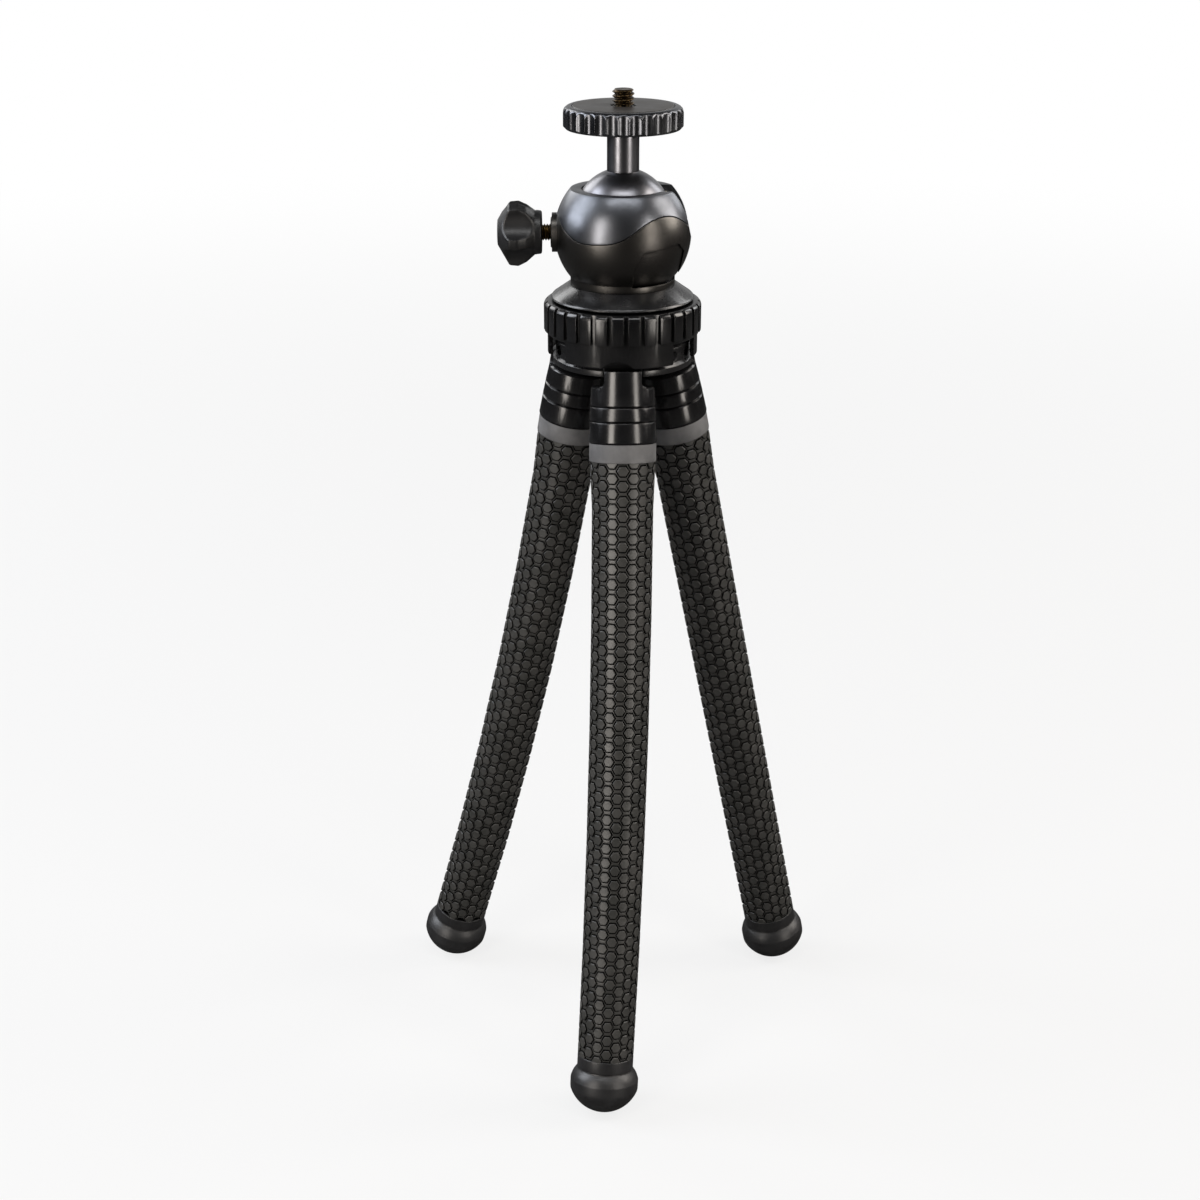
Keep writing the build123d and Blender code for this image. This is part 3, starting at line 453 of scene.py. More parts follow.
def soften(node: str, body: str, width: float) -> bpy.types.Object:
    """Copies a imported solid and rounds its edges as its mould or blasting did.

    Args:
        node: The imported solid.
        body: The body that it moves with.
        width: The rounding's width in millimetres.

    Returns:
        The new piece.
    """
    # Faces that meet at less than the flat angle are one face, and edges sharper than the edge angle are rounded
    flat_angle, edge_angle, smooth_angle = 0.6, 32, 40
    mesh = frame["nodes"][node].data.copy()
    piece = bpy.data.objects.new(f"{node}_moulded", mesh)
    bpy.context.scene.collection.objects.link(piece)
    Bench.clear()
    piece.select_set(True)
    bpy.context.view_layer.objects.active = piece
    bpy.ops.object.mode_set(mode="EDIT")
    bpy.ops.mesh.select_all(action="SELECT")
    bpy.ops.mesh.remove_doubles(threshold=SMALL)
    bpy.ops.mesh.dissolve_limited(angle_limit=math.radians(flat_angle))
    bpy.ops.object.mode_set(mode="OBJECT")
    rounding = piece.modifiers.new("mould_rounding", "BEVEL")
    rounding.width = width * MM
    rounding.segments = 3
    rounding.limit_method = "ANGLE"
    rounding.angle_limit = math.radians(edge_angle)
    bpy.ops.object.modifier_apply(modifier=rounding.name)
    Bench.smooth(piece, smooth_angle)
    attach(piece, body)
    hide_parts(node)
    return piece


def soft_min(first: np.ndarray, second: np.ndarray, blend: float) -> np.ndarray:
    """The smaller of two values, with a rounded change between them.

    Args:
        first: Values.
        second: Other values.
        blend: How far apart the two are where rounding starts.

    Returns:
        The rounded smaller values.
    """
    share = np.maximum(blend - np.abs(first - second), 0) / blend
    return np.minimum(first, second) - share**2 * blend / 4


def threaded(pitch: float, major: float, depth: float, low: float, high: float) -> Callable[[np.ndarray], np.ndarray]:
    """A rule that cuts a right-hand thread into a rod along Z.

    Args:
        pitch: The thread's pitch.
        major: The crests' radius.
        depth: The thread's depth.
        low: Where the thread starts.
        high: Where it ends.

    Returns:
        The rule for Bench.reshape.
    """
    # The ramp is stretched past both ends, which leaves a flat crest and a flat root
    slope, crest = 1.3, 0.15

    def cut(points: np.ndarray) -> np.ndarray:
        """Draws the rod's wall in along the groove."""
        radius = np.hypot(points[:, 0], points[:, 1])
        phase = points[:, 2] / pitch - np.arctan2(points[:, 1], points[:, 0]) / (2 * math.pi)
        ramp = np.abs(2 * (phase - np.floor(phase)) - 1)
        groove = major - depth * np.clip(slope * ramp - crest, 0, 1)
        inside = (points[:, 2] > low) & (points[:, 2] < high) & (radius > 0.5 * major)
        factor = np.where(inside, np.minimum(radius, groove) / np.maximum(radius, SMALL), 1.0)
        return points * np.stack([factor, factor, np.ones_like(factor)], axis=1)

    return cut


@dataclass
class Platform:
    """The camera wheel with its pad, and the camera screw."""

    wheel_radius: float = 17.2
    edge: float = 2.0
    foot_chamfer: float = 0.8
    flutes: int = 32
    flute_radius: float = 2.3
    flute_depth: float = 0.7
    flute_blend: float = 0.22
    flute_margin: float = 0.6
    pad_radius: float = 14.6
    pad_wall: float = 1.3
    pad_gap: float = 0.12
    pad_rise: float = 0.1
    seat_radius: float = 5.3
    seat_depth: float = 1.1
    collar: float = 3.5
    collar_gap: float = 0.05
    collar_drop: float = 1.65
    flange_radius: float = 5.2
    flange_thickness: float = 0.8
    flange_gap: float = 0.2
    thread_radius: float = 3.15
    thread_depth: float = 0.68
    thread_pitch: float = 1.27
    thread_length: float = 4.5
    shank: float = 2.4

    def build(self) -> None:
        """Builds and dresses the three pieces."""
        self.make_wheel()
        self.make_pad()
        self.make_screw()

    def make_wheel(self) -> None:
        """The wheel: a turned rim with 32 hollow flutes that run out under its rounded shoulder."""
        low, high = (corner.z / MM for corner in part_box("platform_wheel"))
        pocket = high + self.pad_rise - self.pad_wall
        hole, rim = self.collar + self.collar_gap, self.pad_radius + self.pad_gap
        corners = [
            (hole, low, 0.1), (self.wheel_radius - self.foot_chamfer, low, 0.25),
            (self.wheel_radius, low + self.foot_chamfer, 0.4), (self.wheel_radius, high, self.edge),
            (rim, high, 0.15), (rim, pocket, 0.0), (self.seat_radius, pocket, 0.0),
            (self.seat_radius, pocket - self.seat_depth, 0.0), (hole, pocket - self.seat_depth, 0.0),
        ]
        profile = Bench.rounded(corners, 6.0)
        wheel = Bench.lathe("camera_wheel_rim", Bench.refined(profile, 0.45), 512)
        circle = self.wheel_radius - self.flute_depth + self.flute_radius

        def flute(points: np.ndarray) -> np.ndarray:
            """Draws the rim in where a flute runs."""
            radius = np.hypot(points[:, 0], points[:, 1])
            turn = np.arctan2(points[:, 1], points[:, 0])
            spacing = 2 * math.pi / self.flutes
            offset = np.abs(turn - spacing * np.round(turn / spacing))
            across = circle * np.sin(offset)
            inside = np.maximum(self.flute_radius**2 - across**2, 0)
            hollow = np.where(across < self.flute_radius, circle * np.cos(offset) - np.sqrt(inside), FAR)
            outside = radius > self.pad_radius + self.flute_margin
            cut = np.where(outside, soft_min(radius, hollow, self.flute_blend), radius)
            factor = cut / np.maximum(radius, SMALL)
            return points * np.stack([factor, factor, np.ones_like(factor)], axis=1)

        Bench.reshape(wheel, flute)
        Bench.smooth(wheel, 50)
        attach(wheel, "camera_wheel")
        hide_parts("platform_wheel")
        dress(wheel, WHEEL_METAL)

    def make_pad(self) -> None:
        """The pad: a thin disc with soft edges, a tenth of a millimetre proud of the rim."""
        low, high = (corner.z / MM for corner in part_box("platform_pad"))
        inner = self.collar + 0.1
        corners = [(inner, low, 0.0), (self.pad_radius, low, 0.1), (self.pad_radius, high, 0.3), (inner, high, 0.25)]
        pad = Bench.lathe("camera_pad", Bench.rounded(corners, 10.0), 160)
        Bench.smooth(pad, 40)
        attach(pad, "camera_wheel")
        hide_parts("platform_pad")
        dress(pad, PAD_RUBBER)

    def make_screw(self) -> None:
        """The stud: shank, flange and collar in one, with the thread cut on top."""
        low, high = (corner.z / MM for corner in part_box("camera_screw"))
        seat = high - self.thread_length
        flange = seat - self.pad_wall - self.flange_gap
        below, step = flange - self.flange_thickness, flange - self.collar_drop
        core = self.thread_radius - self.thread_depth
        lead = 0.45
        corners = [
            (0.0, low, 0.0), (self.shank, low, 0.2), (self.shank, step, 0.0), (self.collar, step, 0.0),
            (self.collar, below, 0.0), (self.flange_radius, below, 0.1), (self.flange_radius, flange, 0.1),
            (self.collar, flange, 0.0), (self.collar, seat - 0.4, 0.12), (core + 0.1, seat - 0.25, 0.0),
            (core, seat + 0.25, 0.0), (self.thread_radius, seat + lead, 0.0),
            (self.thread_radius, high - lead, 0.1), (core + 0.05, high, 0.1), (0.0, high - 0.05, 0.0),
        ]
        screw = Bench.lathe("camera_stud", Bench.refined(Bench.rounded(corners, 20.0), 0.09), 96)
        rule = threaded(self.thread_pitch, self.thread_radius, self.thread_depth, seat, high + 1)
        Bench.reshape(screw, rule)
        Bench.smooth(screw, 40)
        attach(screw, "ball")
        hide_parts("camera_screw")
        dress(screw, BRONZE)


@dataclass
class Clamp:
    """The knob with its screw."""

    length: float = 12.8
    radius: float = 9.7
    neck: float = 6.15
    neck_length: float = 2.0
    face: float = 3.6
    face_depth: float = 3.4
    lobe_length: float = 2.6
    lobes: int = 5
    valley_radius: float = 5.2
    valley_depth: float = 3.2
    valley_turn: float = 24.0
    valley_blend: float = 0.9
    core_radius: float = 1.0
    screw_radius: float = 2.4
    screw_pitch: float = 0.8
    screw_depth: float = 0.43

    def build(self) -> None:
        """Builds and dresses both pieces."""
        self.start = -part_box("clamp_knob")[1].x / MM
        low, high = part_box("clamp_screw")
        self.axis = (low.z + high.z) / 2 / MM
        self.make_knob()
        self.make_screw()

    def lay(self, piece: bpy.types.Object) -> None:
        """Lays a piece made upright along the knob's axis, away from the ball."""
        Bench.reshape(piece, lambda p: np.stack([-p[:, 2], p[:, 0], self.axis - p[:, 1]], axis=1))

    def make_knob(self) -> None:
        """The knob: a barrel with a blunt cone outside and five round valleys between its lobes."""
        start, end = self.start, self.start + self.length
        lobe_start, lobe_end = end - self.face_depth - self.lobe_length, end - self.face_depth
        middle = (start + self.neck_length + lobe_start) / 2
        corners = [
            (0.0, start, 0.0), (self.neck, start, 0.5), (self.neck + 0.25, start + self.neck_length, 0.6),
            ((self.neck + 2 * self.radius) / 3, middle, 2.0), (self.radius, lobe_start, 1.2),
            (self.radius - 0.25, lobe_end, 0.9), (self.face, end, 0.7), (0.0, end, 0.0),
        ]
        profile = Bench.refined(Bench.rounded(corners, 8.0), 0.35)
        knob = Bench.lathe("clamp_knob_body", profile, 240)
        circle = self.radius - self.valley_depth + self.valley_radius
        first = math.radians(180 + self.valley_turn)

        def carve(points: np.ndarray) -> np.ndarray:
            """Draws the barrel in where a valley runs."""
            radius = np.hypot(points[:, 0], points[:, 1])
            turn = np.arctan2(points[:, 1], points[:, 0]) - first
            spacing = 2 * math.pi / self.lobes
            offset = np.abs(turn - spacing * np.round(turn / spacing))
            across = circle * np.sin(offset)
            inside = np.maximum(self.valley_radius**2 - across**2, 0)
            hollow = np.where(across < self.valley_radius, circle * np.cos(offset) - np.sqrt(inside), FAR)
            hollow = np.where(points[:, 2] > start + self.neck_length - 0.2, hollow, FAR)
            factor = soft_min(radius, hollow, self.valley_blend) / np.maximum(radius, SMALL)
            factor = np.where(radius > self.core_radius, factor, 1.0)
            return points * np.stack([factor, factor, np.ones_like(factor)], axis=1)

        Bench.reshape(knob, carve)
        self.lay(knob)
        Bench.smooth(knob, 45)
        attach(knob, "knob")
        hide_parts("clamp_knob")
        dress(knob, KNOB_PLASTIC)

    def make_screw(self) -> None:
        """The screw, with its thread cut all along."""
        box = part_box("clamp_screw")
        tip, end = -box[1].x / MM, -box[0].x / MM
        corners = [(0.0, tip, 0.0), (self.screw_radius, tip, 0.3), (self.screw_radius, end, 0.1), (0.0, end, 0.0)]
        screw = Bench.lathe("clamp_stud", Bench.refined(Bench.rounded(corners, 20.0), 0.09), 72)
        Bench.reshape(screw, threaded(self.screw_pitch, self.screw_radius, self.screw_depth, tip, end))
        self.lay(screw)
        Bench.smooth(screw, 40)
        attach(screw, "knob")
        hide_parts("clamp_screw")
        dress(screw, BRASS)


@dataclass
class Leg:
    """A leg's sleeve, bands and foot. A place on it is x, y and the drop down the leg from its pin."""

    number: int
    outward_bow: float
    sideways_bow: float
    joint_count: int = 5
    columns: int = 18
    row_pitch: float = 4.4
    sleeve_start: float = 30.3
    sleeve_radii: tuple[float, ...] = (9.6, 9.6, 9.0, 8.9, 8.8, 8.7, 8.6, 8.5, 8.2)
    tile_width: float = 3.14
    groove_depth: float = 0.9
    bore: float = 6.95
    band_top: float = 24.9
    band_radius: float = 9.75
    foot_radius: float = 10.9
    low_band_radius: float = 8.5
    cap_rounding: float = 0.5
    bend_reach: float = 8.0
    blend_reach: float = 13.0
    # The row of studs at which each length of the sleeve starts, and the last row's end
    splits: tuple[int, ...] = (0, 7, 14, 22, 29, 41)

    def build(self) -> None:
        """Finds the leg's line and builds its pieces."""
        self.find_frames()
        self.make_top_band()
        self.make_sleeve()
        self.make_low_band()
        self.make_foot()
        self.dress_core()

    def find_frames(self) -> None:
        """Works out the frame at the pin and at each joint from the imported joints."""
        joints = {joint["name"]: joint for joint in frame["joints"]}
        fold = joints[f"leg_{self.number}_fold"]
        places = [Vector(fold["pos_m"])]
        places += [Vector(joints[f"leg_{self.number}_bend_{k + 1}"]["pos_m"]) for k in range(self.joint_count)]
        up = (places[0] - places[1]).normalized()
        along = -Vector(fold["axis"])
        turn = Matrix((along.cross(up), along, up)).transposed()
        self.origins = [np.array(place) / MM for place in places]
        self.turns = [np.array(turn)]
        share = Matrix.Rotation(math.radians(self.sideways_bow / self.joint_count), 3, "X")
        share = share @ Matrix.Rotation(math.radians(-self.outward_bow / self.joint_count), 3, "Y")
        for _ in range(self.joint_count):
            turn = turn @ share
            self.turns.append(np.array(turn))
        self.drops = [0.0]
        for before, after in zip(places, places[1:]):
            self.drops.append(self.drops[-1] + (before - after).length / MM)
        reach = (self.origins[-1][2] - self.foot_radius) / self.turns[-1][2][2]
        self.foot_drop = self.drops[-1] + reach

    def bend(self, points: np.ndarray) -> np.ndarray:
        """Takes points from the straight leg to the real one.

        Args:
            points: x, y and minus the drop, in millimetres.

        Returns:
            The points in the model's frame, in millimetres.
        """
        drop = -points[:, 2]
        placed = None
        for origin, turn, start in zip(self.origins, self.turns, self.drops):
            local = np.stack([points[:, 0], points[:, 1], -(drop - start)], axis=1)
            there = origin + local @ turn.T
            if placed is None:
                placed = there
                continue
            share = np.clip((drop - start + self.bend_reach) / (2 * self.bend_reach), 0, 1)
            share = (share * share * (3 - 2 * share))[:, None]
            placed = placed * (1 - share) + there * share
        return placed

    def sleeve_radius(self, drop: np.ndarray) -> np.ndarray:
        """The radius over the studs at each drop."""
        places = (28.0, self.sleeve_start, *self.drops[1:], self.foot_drop - 7.5, self.foot_drop - 5.0)
        return np.interp(drop, places, self.sleeve_radii)

    def make_tile(self) -> bpy.types.Object:
        """One stud in its ring groove with its share of the web, flat: across, along and height.

        Returns:
            The tile, which is copied and then removed.
        """
        Bench.clear()
        bpy.ops.mesh.primitive_circle_add(vertices=12, radius=2 * MM, fill_type="NOTHING")
        tile = bpy.context.object
        tile.name = "stud_tile"
        half = self.row_pitch / 2
        across = self.tile_width / 2
        short, long = 0.8, 2 * across - 0.8
        outline = [
            (long, 0.0), (across, half / 2), (short, half), (0.0, half), (-short, half), (-across, half / 2),
            (-long, 0.0), (-across, -half / 2), (-short, -half), (0.0, -half), (short, -half), (across, -half / 2),
        ]

        def ring(side: float, slant: float, corner: float, top: float) -> Profile:
            """Twelve points round the stud, from four distances to its middle."""
            lengths = (side, slant, corner, top, corner, slant) * 2
            return [(lengths[k] * math.cos(k * math.pi / 6), lengths[k] * math.sin(k * math.pi / 6)) for k in range(12)]

        # From outside in: the web's edge, the groove's lip, its floor's two edges, and the stud's shoulder and top
        rings = [
            (outline, -0.36), (ring(2.06, 1.79, 2.02, 1.75), -0.38),
            (ring(1.93, 1.68, 1.89, 1.63), -self.groove_depth), (ring(1.71, 1.48, 1.67, 1.44), -self.groove_depth),
            (ring(1.64, 1.42, 1.6, 1.38), -0.14), (ring(1.48, 1.28, 1.44, 1.24), 0.0),
        ]
        bpy.ops.object.mode_set(mode="EDIT")
        bpy.ops.mesh.select_all(action="SELECT")
        for index, (points, height) in enumerate(rings):
            if index:
                bpy.ops.mesh.extrude_edges_move()
            shape = bmesh.from_edit_mesh(tile.data)
            chosen = sorted((v for v in shape.verts if v.select),
                            key=lambda v: round(math.atan2(v.co.y, v.co.x) % (2 * math.pi), 4) % 6.2831)
            for vertex, (u, v) in zip(chosen, points):
                vertex.co = Vector((u, v, height)) * MM
            bmesh.update_edit_mesh(tile.data)
        bpy.ops.mesh.edge_face_add()
        bpy.ops.mesh.poke()
        bpy.ops.object.mode_set(mode="OBJECT")
        return tile

    def make_sleeve(self) -> None:
        """The studded sleeve, in five lengths that each run across one joint, shaped along the leg's bow."""
        tile = self.make_tile()
        flat = np.array([vertex.co for vertex in tile.data.vertices]) / MM
        faces = [tuple(polygon.vertices) for polygon in tile.data.polygons]
        bodies = [f"leg_{self.number}_top"] + [f"leg_{self.number}_part_{k}" for k in range(2, 6)]
        bodies.append(f"leg_{self.number}_end")
        for part in range(self.joint_count):
            piece = self.make_length(part, flat, faces)
            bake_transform(piece)
            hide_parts(f"leg_sleeve_{self.number}")
            dress(piece, SLEEVE_RUBBER)
        bpy.data.objects.remove(tile)

    def make_length(self, part: int, flat: np.ndarray, faces: list[tuple[int, ...]]) -> bpy.types.Object:
        """One length of the sleeve: copies of the tile round a tube, with an inner wall.

        Args:
            part: Which length, from 0 at the top.
            flat: The tile's points, in millimetres.
            faces: The tile's faces.

        Returns:
            The finished mesh, in place.
        """
        # How far above a groove's floor the painted shade and dirt fade into the rubber's plain tone, and what counts
        # as one point of two tiles
        full_tone, weld = 0.6, 5e-6
        points, levels, all_faces = [], [], []
        for column in range(self.columns):
            shift = 0.5 * (column % 2)
            first = self.splits[part] - (1 if part == 0 and column % 2 else 0)
            for row in range(first, self.splits[part + 1]):
                drop = self.sleeve_start + (row + 0.5 + shift) * self.row_pitch - flat[:, 1]
                angle = (column + flat[:, 0] / self.tile_width) * 2 * math.pi / self.columns
                radius = self.sleeve_radius(drop) + flat[:, 2]
                start = len(points) * len(flat)
                points.append(np.stack([radius * np.cos(angle), radius * np.sin(angle), -drop], axis=1))
                levels.append(np.clip((flat[:, 2] + self.groove_depth) / full_tone, 0, 1))
                all_faces += [tuple(start + v for v in face) for face in faces]
        mesh = bpy.data.meshes.new(f"leg_{self.number}_sleeve_{part + 1}")
        mesh.from_pydata((np.concatenate(points) * MM).tolist(), [], all_faces)
        level = mesh.attributes.new("stud_level", "FLOAT", "POINT")
        level.data.foreach_set("value", np.concatenate(levels).astype(np.float32))
        piece = bpy.data.objects.new(mesh.name, mesh)
        bpy.context.scene.collection.objects.link(piece)
        Bench.clear()
        piece.select_set(True)
        bpy.context.view_layer.objects.active = piece
        bpy.ops.object.mode_set(mode="EDIT")
        bpy.ops.mesh.select_all(action="SELECT")
        bpy.ops.mesh.remove_doubles(threshold=weld)
        bpy.ops.mesh.select_all(action="DESELECT")
        bpy.ops.mesh.select_non_manifold()
        bpy.ops.mesh.extrude_edges_move()
        shape = bmesh.from_edit_mesh(mesh)
        for vertex in shape.verts:
            if vertex.select:
                factor = self.bore * MM / math.hypot(vertex.co.x, vertex.co.y)
                vertex.co = Vector((vertex.co.x * factor, vertex.co.y * factor, vertex.co.z))
        bmesh.update_edit_mesh(mesh)
        bpy.ops.mesh.bridge_edge_loops(number_cuts=6, interpolation="LINEAR")
        Bench.close()
        Bench.reshape(piece, self.bend)
        Bench.smooth(piece, 34)
        return piece

    def make_top_band(self) -> None:
        """The smooth band at the sleeve's top, under the cap."""
        corners = [
            (self.bore, -self.sleeve_start, 0.0), (self.bore, -self.band_top, 0.0),
            (self.band_radius, -self.band_top, 0.2), (self.band_radius, -self.sleeve_start, 0.35),
        ]
        band = Bench.lathe(f"leg_{self.number}_top_band", Bench.rounded(corners, 15.0), 96)
        Bench.reshape(band, self.bend)
        Bench.smooth(band, 40)
        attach(band, f"leg_{self.number}_top")
        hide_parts(f"leg_sleeve_{self.number}")
        dress(band, BAND_RUBBER)

    def make_low_band(self) -> None:
        """The smooth band at the sleeve's end, over the foot's neck."""
        top, bottom = self.foot_drop - 7.1, self.foot_drop - 3.3
        corners = [
            (self.bore, -bottom, 0.0), (self.bore, -top, 0.0),
            (self.low_band_radius, -top, 0.3), (self.low_band_radius, -bottom, 0.15),
        ]
        band = Bench.lathe(f"leg_{self.number}_low_band", Bench.rounded(corners, 15.0), 96)
        Bench.reshape(band, self.bend)
        Bench.smooth(band, 40)
        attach(band, f"leg_{self.number}_end")
        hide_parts(f"leg_sleeve_{self.number}")
        dress(band, FOOT_RUBBER)

    def make_foot(self) -> None:
        """The foot: a neck, a soft shoulder, a narrow side and a round sole."""
        bore = self.bore - 0.25
        angles = [math.radians(degrees) for degrees in range(66, -1, -3)]
        sole = [(self.foot_radius * math.sin(a), -self.foot_radius * math.cos(a)) for a in angles]
        outline = [
            (bore, 3.3), (8.25, 3.3), (8.38, 3.2), (8.4, 2.95), (8.5, 2.75), (8.72, 2.52), (9.1, 2.1), (9.55, 1.45),
            (9.92, 0.7), (10.14, 0.05), (10.2, -0.15), (10.27, -0.3), (10.31, -0.5), (10.32, -0.8), (10.32, -1.6),
            (10.32, -2.4), (10.3, -3.2), (10.24, -3.7),
        ]
        profile = [(r, z - self.foot_drop) for r, z in outline + sole + [(0.0, -2.1), (bore, -2.1)]]
        foot = Bench.lathe(f"leg_{self.number}_foot", profile, 96)
        Bench.reshape(foot, self.bend)
        Bench.smooth(foot, 40)
        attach(foot, f"leg_{self.number}_end")
        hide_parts(f"foot_{self.number}")
        dress(foot, FOOT_RUBBER)

    def dress_core(self) -> None:
        """The cap with its edges rounded, and finishes for the leg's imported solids."""
        cap = soften(f"leg_cap_{self.number}", f"leg_{self.number}_top", self.cap_rounding)
        dress(cap, CAP_PLASTIC)
        dress(frame["nodes"][f"leg_pin_{self.number}"], STEEL)
        for link in range(1, self.joint_count + 2):
            dress(frame["nodes"][f"leg_{self.number}_link_{link}"], CORE_METAL)


@dataclass
class Head:
    """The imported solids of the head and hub: some as they are, and some with their edges rounded."""

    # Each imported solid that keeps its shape, with its finish
    kept: tuple[tuple[str, Finish], ...] = (
        ("ball_stem", STEM_METAL), ("ball_liner", NYLON), ("ball_seat", NYLON), ("clamp_bushing", SHADED_LOWER_METAL),
        ("clamp_shoe", NYLON), ("pan_bolt", STEEL), ("spring_washer", STEEL), ("pan_washer", NYLON),
        ("hub_cover", HUB_PLASTIC),
    )
    # Each one that is rounded, with its body, the rounding's width in millimetres and its finish
    rounded: tuple[tuple[str, str, float, Finish], ...] = (
        ("housing_upper", "head", 0.3, SHELL_METAL), ("housing_lower", "head", 0.3, SHADED_LOWER_METAL),
        ("base_plate", "head", 0.27, PLATE_PLASTIC), ("lock_ring", "ring", 0.35, RING_PLASTIC),
        ("hub", "hub_base", 0.25, HUB_PLASTIC),
    )

    def build(self) -> None:
        """Dresses the first and rounds and dresses the second."""
        for name, finish in self.kept:
            dress(frame["nodes"][name], finish)
        for name, body, width, finish in self.rounded:
            dress(soften(name, body, width), finish)


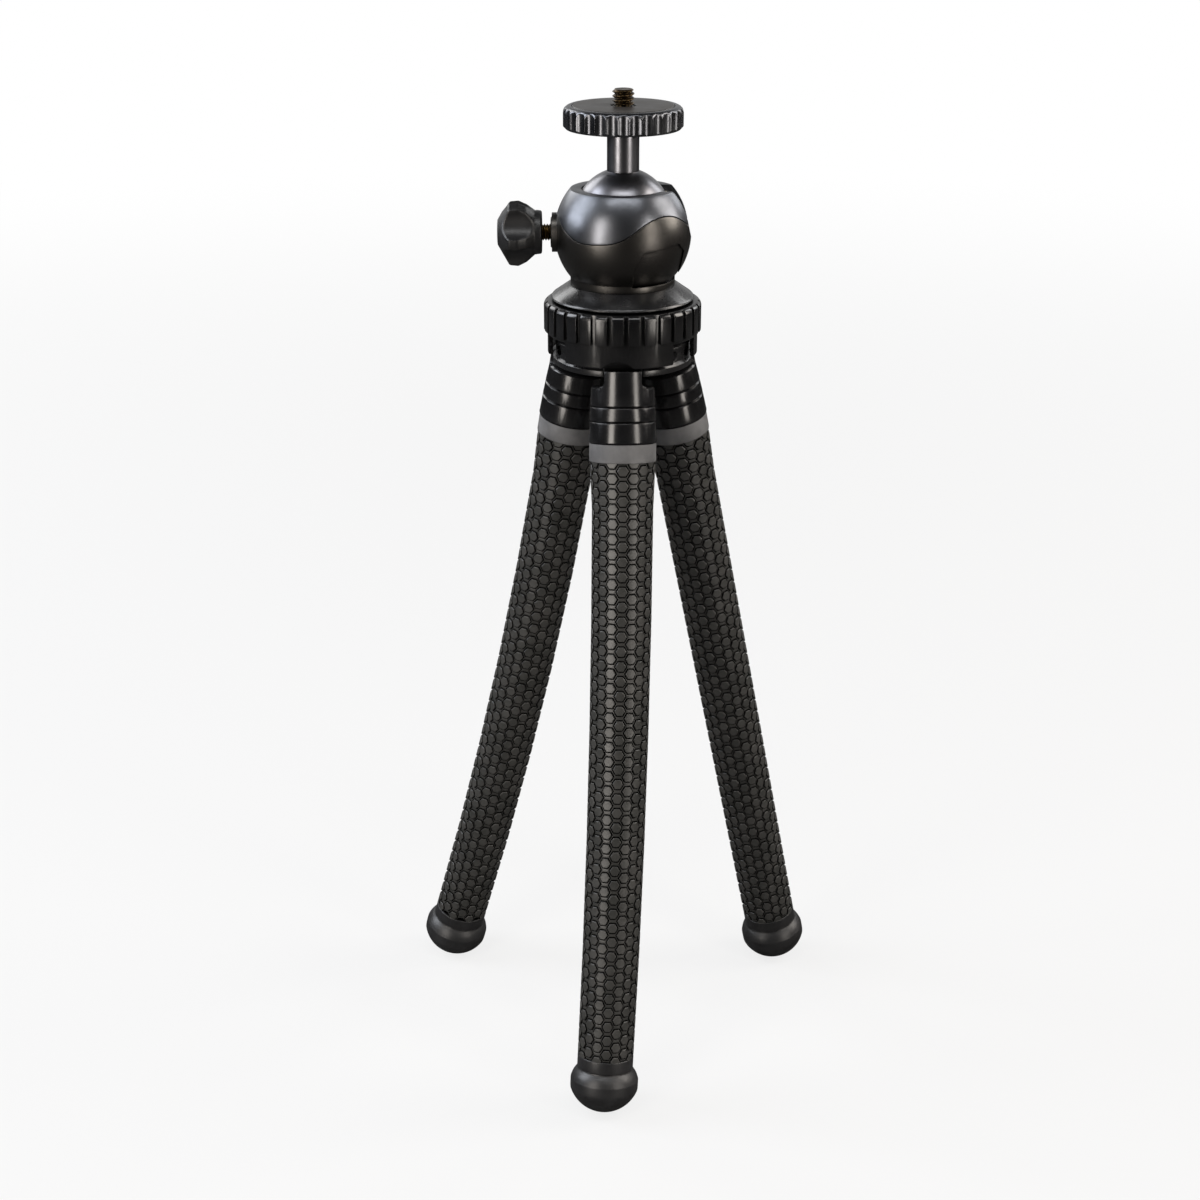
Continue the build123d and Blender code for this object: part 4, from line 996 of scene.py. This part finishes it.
@dataclass
class Studio:
    """Floor, light and camera. Lengths are in metres."""

    camera_place: tuple[float, float, float] = (-0.0066, -0.6106, 0.3822)
    camera_pitch: float = 68.6
    lens: float = 63.71
    sensor: float = 36.0
    floor_size: float = 8.0
    # From where to where the floor turns white, and how white it is there
    fade_reach: tuple[float, float] = (0.25, 1.6)
    fade_share: tuple[float, float] = (0.8, 1.0)
    # Between which Y of a ray's direction the white sweep comes into reflections, and how much of it
    sweep_reach: tuple[float, float] = (0.55, 0.98)
    sweep_share: float = 0.5
    room_strength: float = 0.15
    # Each light's name, place, what it faces, its width and height, its power in watts and its colour: soft boxes at
    # both sides and above, low strips in front for the upright bands, and two behind for the upper edges
    lights: tuple = (
        ("left_box", (-0.95, 0.08, 0.78), (0, 0, 0.22), (0.6, 0.8), 12.5, "#f4f8ff"),
        ("right_box", (0.98, 0.12, 0.72), (0, 0, 0.22), (0.5, 0.8), 10.0, "#fff8f0"),
        ("top_box", (0.0, -0.42, 1.2), (0, 0, 0.22), (0.9, 0.24), 4.5, "#ffffff"),
        ("left_strip", (-0.42, -0.52, 0.3), (0, 0, 0.18), (0.2, 0.6), 3.2, "#fff8f0"),
        ("right_strip", (0.5, -0.45, 0.3), (0, 0, 0.18), (0.15, 0.6), 2.2, "#fff8f0"),
        ("back_left_box", (-0.62, 0.74, 0.7), (0, 0, 0.25), (0.5, 0.5), 3.0, "#ffffff"),
        ("back_right_box", (0.7, 0.66, 0.66), (0, 0, 0.25), (0.3, 0.5), 2.0, "#ffffff"),
    )

    def build(self) -> None:
        """Sets everything up."""
        self.make_floor()
        self.make_sky()
        for light in self.lights:
            self.make_light(*light)
        self.make_camera()

    def make_floor(self) -> None:
        """A plain pale floor that keeps the shadow."""
        Bench.clear()
        bpy.ops.mesh.primitive_plane_add(size=self.floor_size, location=(0, 0, 0))
        floor = bpy.context.object
        floor.name = "floor"
        made = bpy.data.materials.new("pale_floor")
        made.use_nodes = True
        tree = made.node_tree
        tree.nodes.remove(tree.nodes["Principled BSDF"])
        rays = add_node(tree, "ShaderNodeLightPath", {}, {})
        # Reflections see a dim floor, as dark cards round the object give it
        seen = add_node(tree, "ShaderNodeMix", {"data_type": "RGBA", 6: linear("#b4b4b4"), 7: linear("#484848")},
                        {0: rays.outputs["Is Glossy Ray"]})
        matte = add_node(tree, "ShaderNodeBsdfDiffuse", {}, {"Color": seen.outputs[2]})
        white = add_node(tree, "ShaderNodeEmission", {"Color": (1, 1, 1, 1), "Strength": 1.0}, {})
        # Near the object the floor keeps its shadow, and further off it turns as white as the backdrop
        place = add_node(tree, "ShaderNodeTexCoord", {}, {}).outputs["Object"]
        reach = add_node(tree, "ShaderNodeVectorMath", {"operation": "LENGTH"}, {0: place})
        fade = add_node(tree, "ShaderNodeMapRange",
                        {"interpolation_type": "SMOOTHSTEP", 1: self.fade_reach[0], 2: self.fade_reach[1],
                         3: self.fade_share[0], 4: self.fade_share[1]},
                        {0: reach.outputs["Value"]})
        share = add_node(tree, "ShaderNodeMath", {"operation": "MULTIPLY"},
                         {0: rays.outputs["Is Camera Ray"], 1: fade.outputs[0]})
        mixed = add_node(tree, "ShaderNodeMixShader", {},
                         {0: share.outputs[0], 1: matte.outputs[0], 2: white.outputs[0]})
        tree.links.new(mixed.outputs[0], tree.nodes["Material Output"].inputs["Surface"])
        floor.data.materials.append(made)

    def make_sky(self) -> None:
        """White for the camera and through glass, and a dim grey room for light and reflections."""
        world = bpy.context.scene.world or bpy.data.worlds.new("studio")
        bpy.context.scene.world = world
        world.use_nodes = True
        tree = world.node_tree
        tree.nodes.clear()
        rays = add_node(tree, "ShaderNodeLightPath", {}, {})
        seen = add_node(tree, "ShaderNodeMath", {"operation": "MAXIMUM"},
                        {0: rays.outputs["Is Camera Ray"], 1: rays.outputs["Is Transmission Ray"]})
        # The white sweep stands behind the object, so only what faces it shows it
        place = add_node(tree, "ShaderNodeTexCoord", {}, {})
        parts = add_node(tree, "ShaderNodeSeparateXYZ", {}, {0: place.outputs["Generated"]})
        behind = add_node(tree, "ShaderNodeMapRange",
                          {"interpolation_type": "SMOOTHSTEP", 1: self.sweep_reach[0], 2: self.sweep_reach[1],
                           3: 0.0, 4: self.sweep_share},
                          {0: parts.outputs["Y"]})
        glossy = add_node(tree, "ShaderNodeMath", {"operation": "MULTIPLY"},
                          {0: rays.outputs["Is Glossy Ray"], 1: behind.outputs[0]})
        share = add_node(tree, "ShaderNodeMath", {"operation": "MAXIMUM"}, {0: seen.outputs[0], 1: glossy.outputs[0]})
        white = add_node(tree, "ShaderNodeBackground", {"Color": (1, 1, 1, 1), "Strength": 1.0}, {})
        room = add_node(tree, "ShaderNodeBackground", {"Color": linear("#8c8e92"), "Strength": self.room_strength},
                        {})
        mixed = add_node(tree, "ShaderNodeMixShader", {},
                         {0: share.outputs[0], 1: room.outputs[0], 2: white.outputs[0]})
        out = add_node(tree, "ShaderNodeOutputWorld", {}, {"Surface": mixed.outputs[0]})
        out.is_active_output = True

    def make_light(self, name: str, place: tuple, target: tuple, size: tuple, power: float, colour: str) -> None:
        """Adds a soft box.

        Args:
            name: Its name.
            place: Where it stands.
            target: What it faces.
            size: Its width and height.
            power: Its power in watts.
            colour: The colour of its light.
        """
        Bench.clear()
        bpy.ops.object.light_add(type="AREA", location=place)
        light = bpy.context.object
        light.name = name
        light.rotation_euler = (Vector(target) - Vector(place)).to_track_quat("-Z", "Y").to_euler()
        light.data.shape = "RECTANGLE"
        light.data.size, light.data.size_y = size
        light.data.energy = power
        light.data.color = linear(colour)[:3]

    def make_camera(self) -> None:
        """The camera, in front and a little above."""
        Bench.clear()
        bpy.ops.object.camera_add(location=self.camera_place, rotation=(math.radians(self.camera_pitch), 0, 0))
        camera = bpy.context.object
        camera.data.lens = self.lens
        camera.data.sensor_width = self.sensor
        bpy.context.scene.camera = camera
        bpy.context.scene.view_settings.view_transform = "Standard"


def main() -> None:
    """Builds the sub-assemblies in order."""
    Studio().build()
    Head().build()
    Platform().build()
    Clamp().build()
    for number, (outward, sideways) in LEG_BOWS.items():
        Leg(number, outward, sideways).build()


if __name__ == "__main__":
    main()
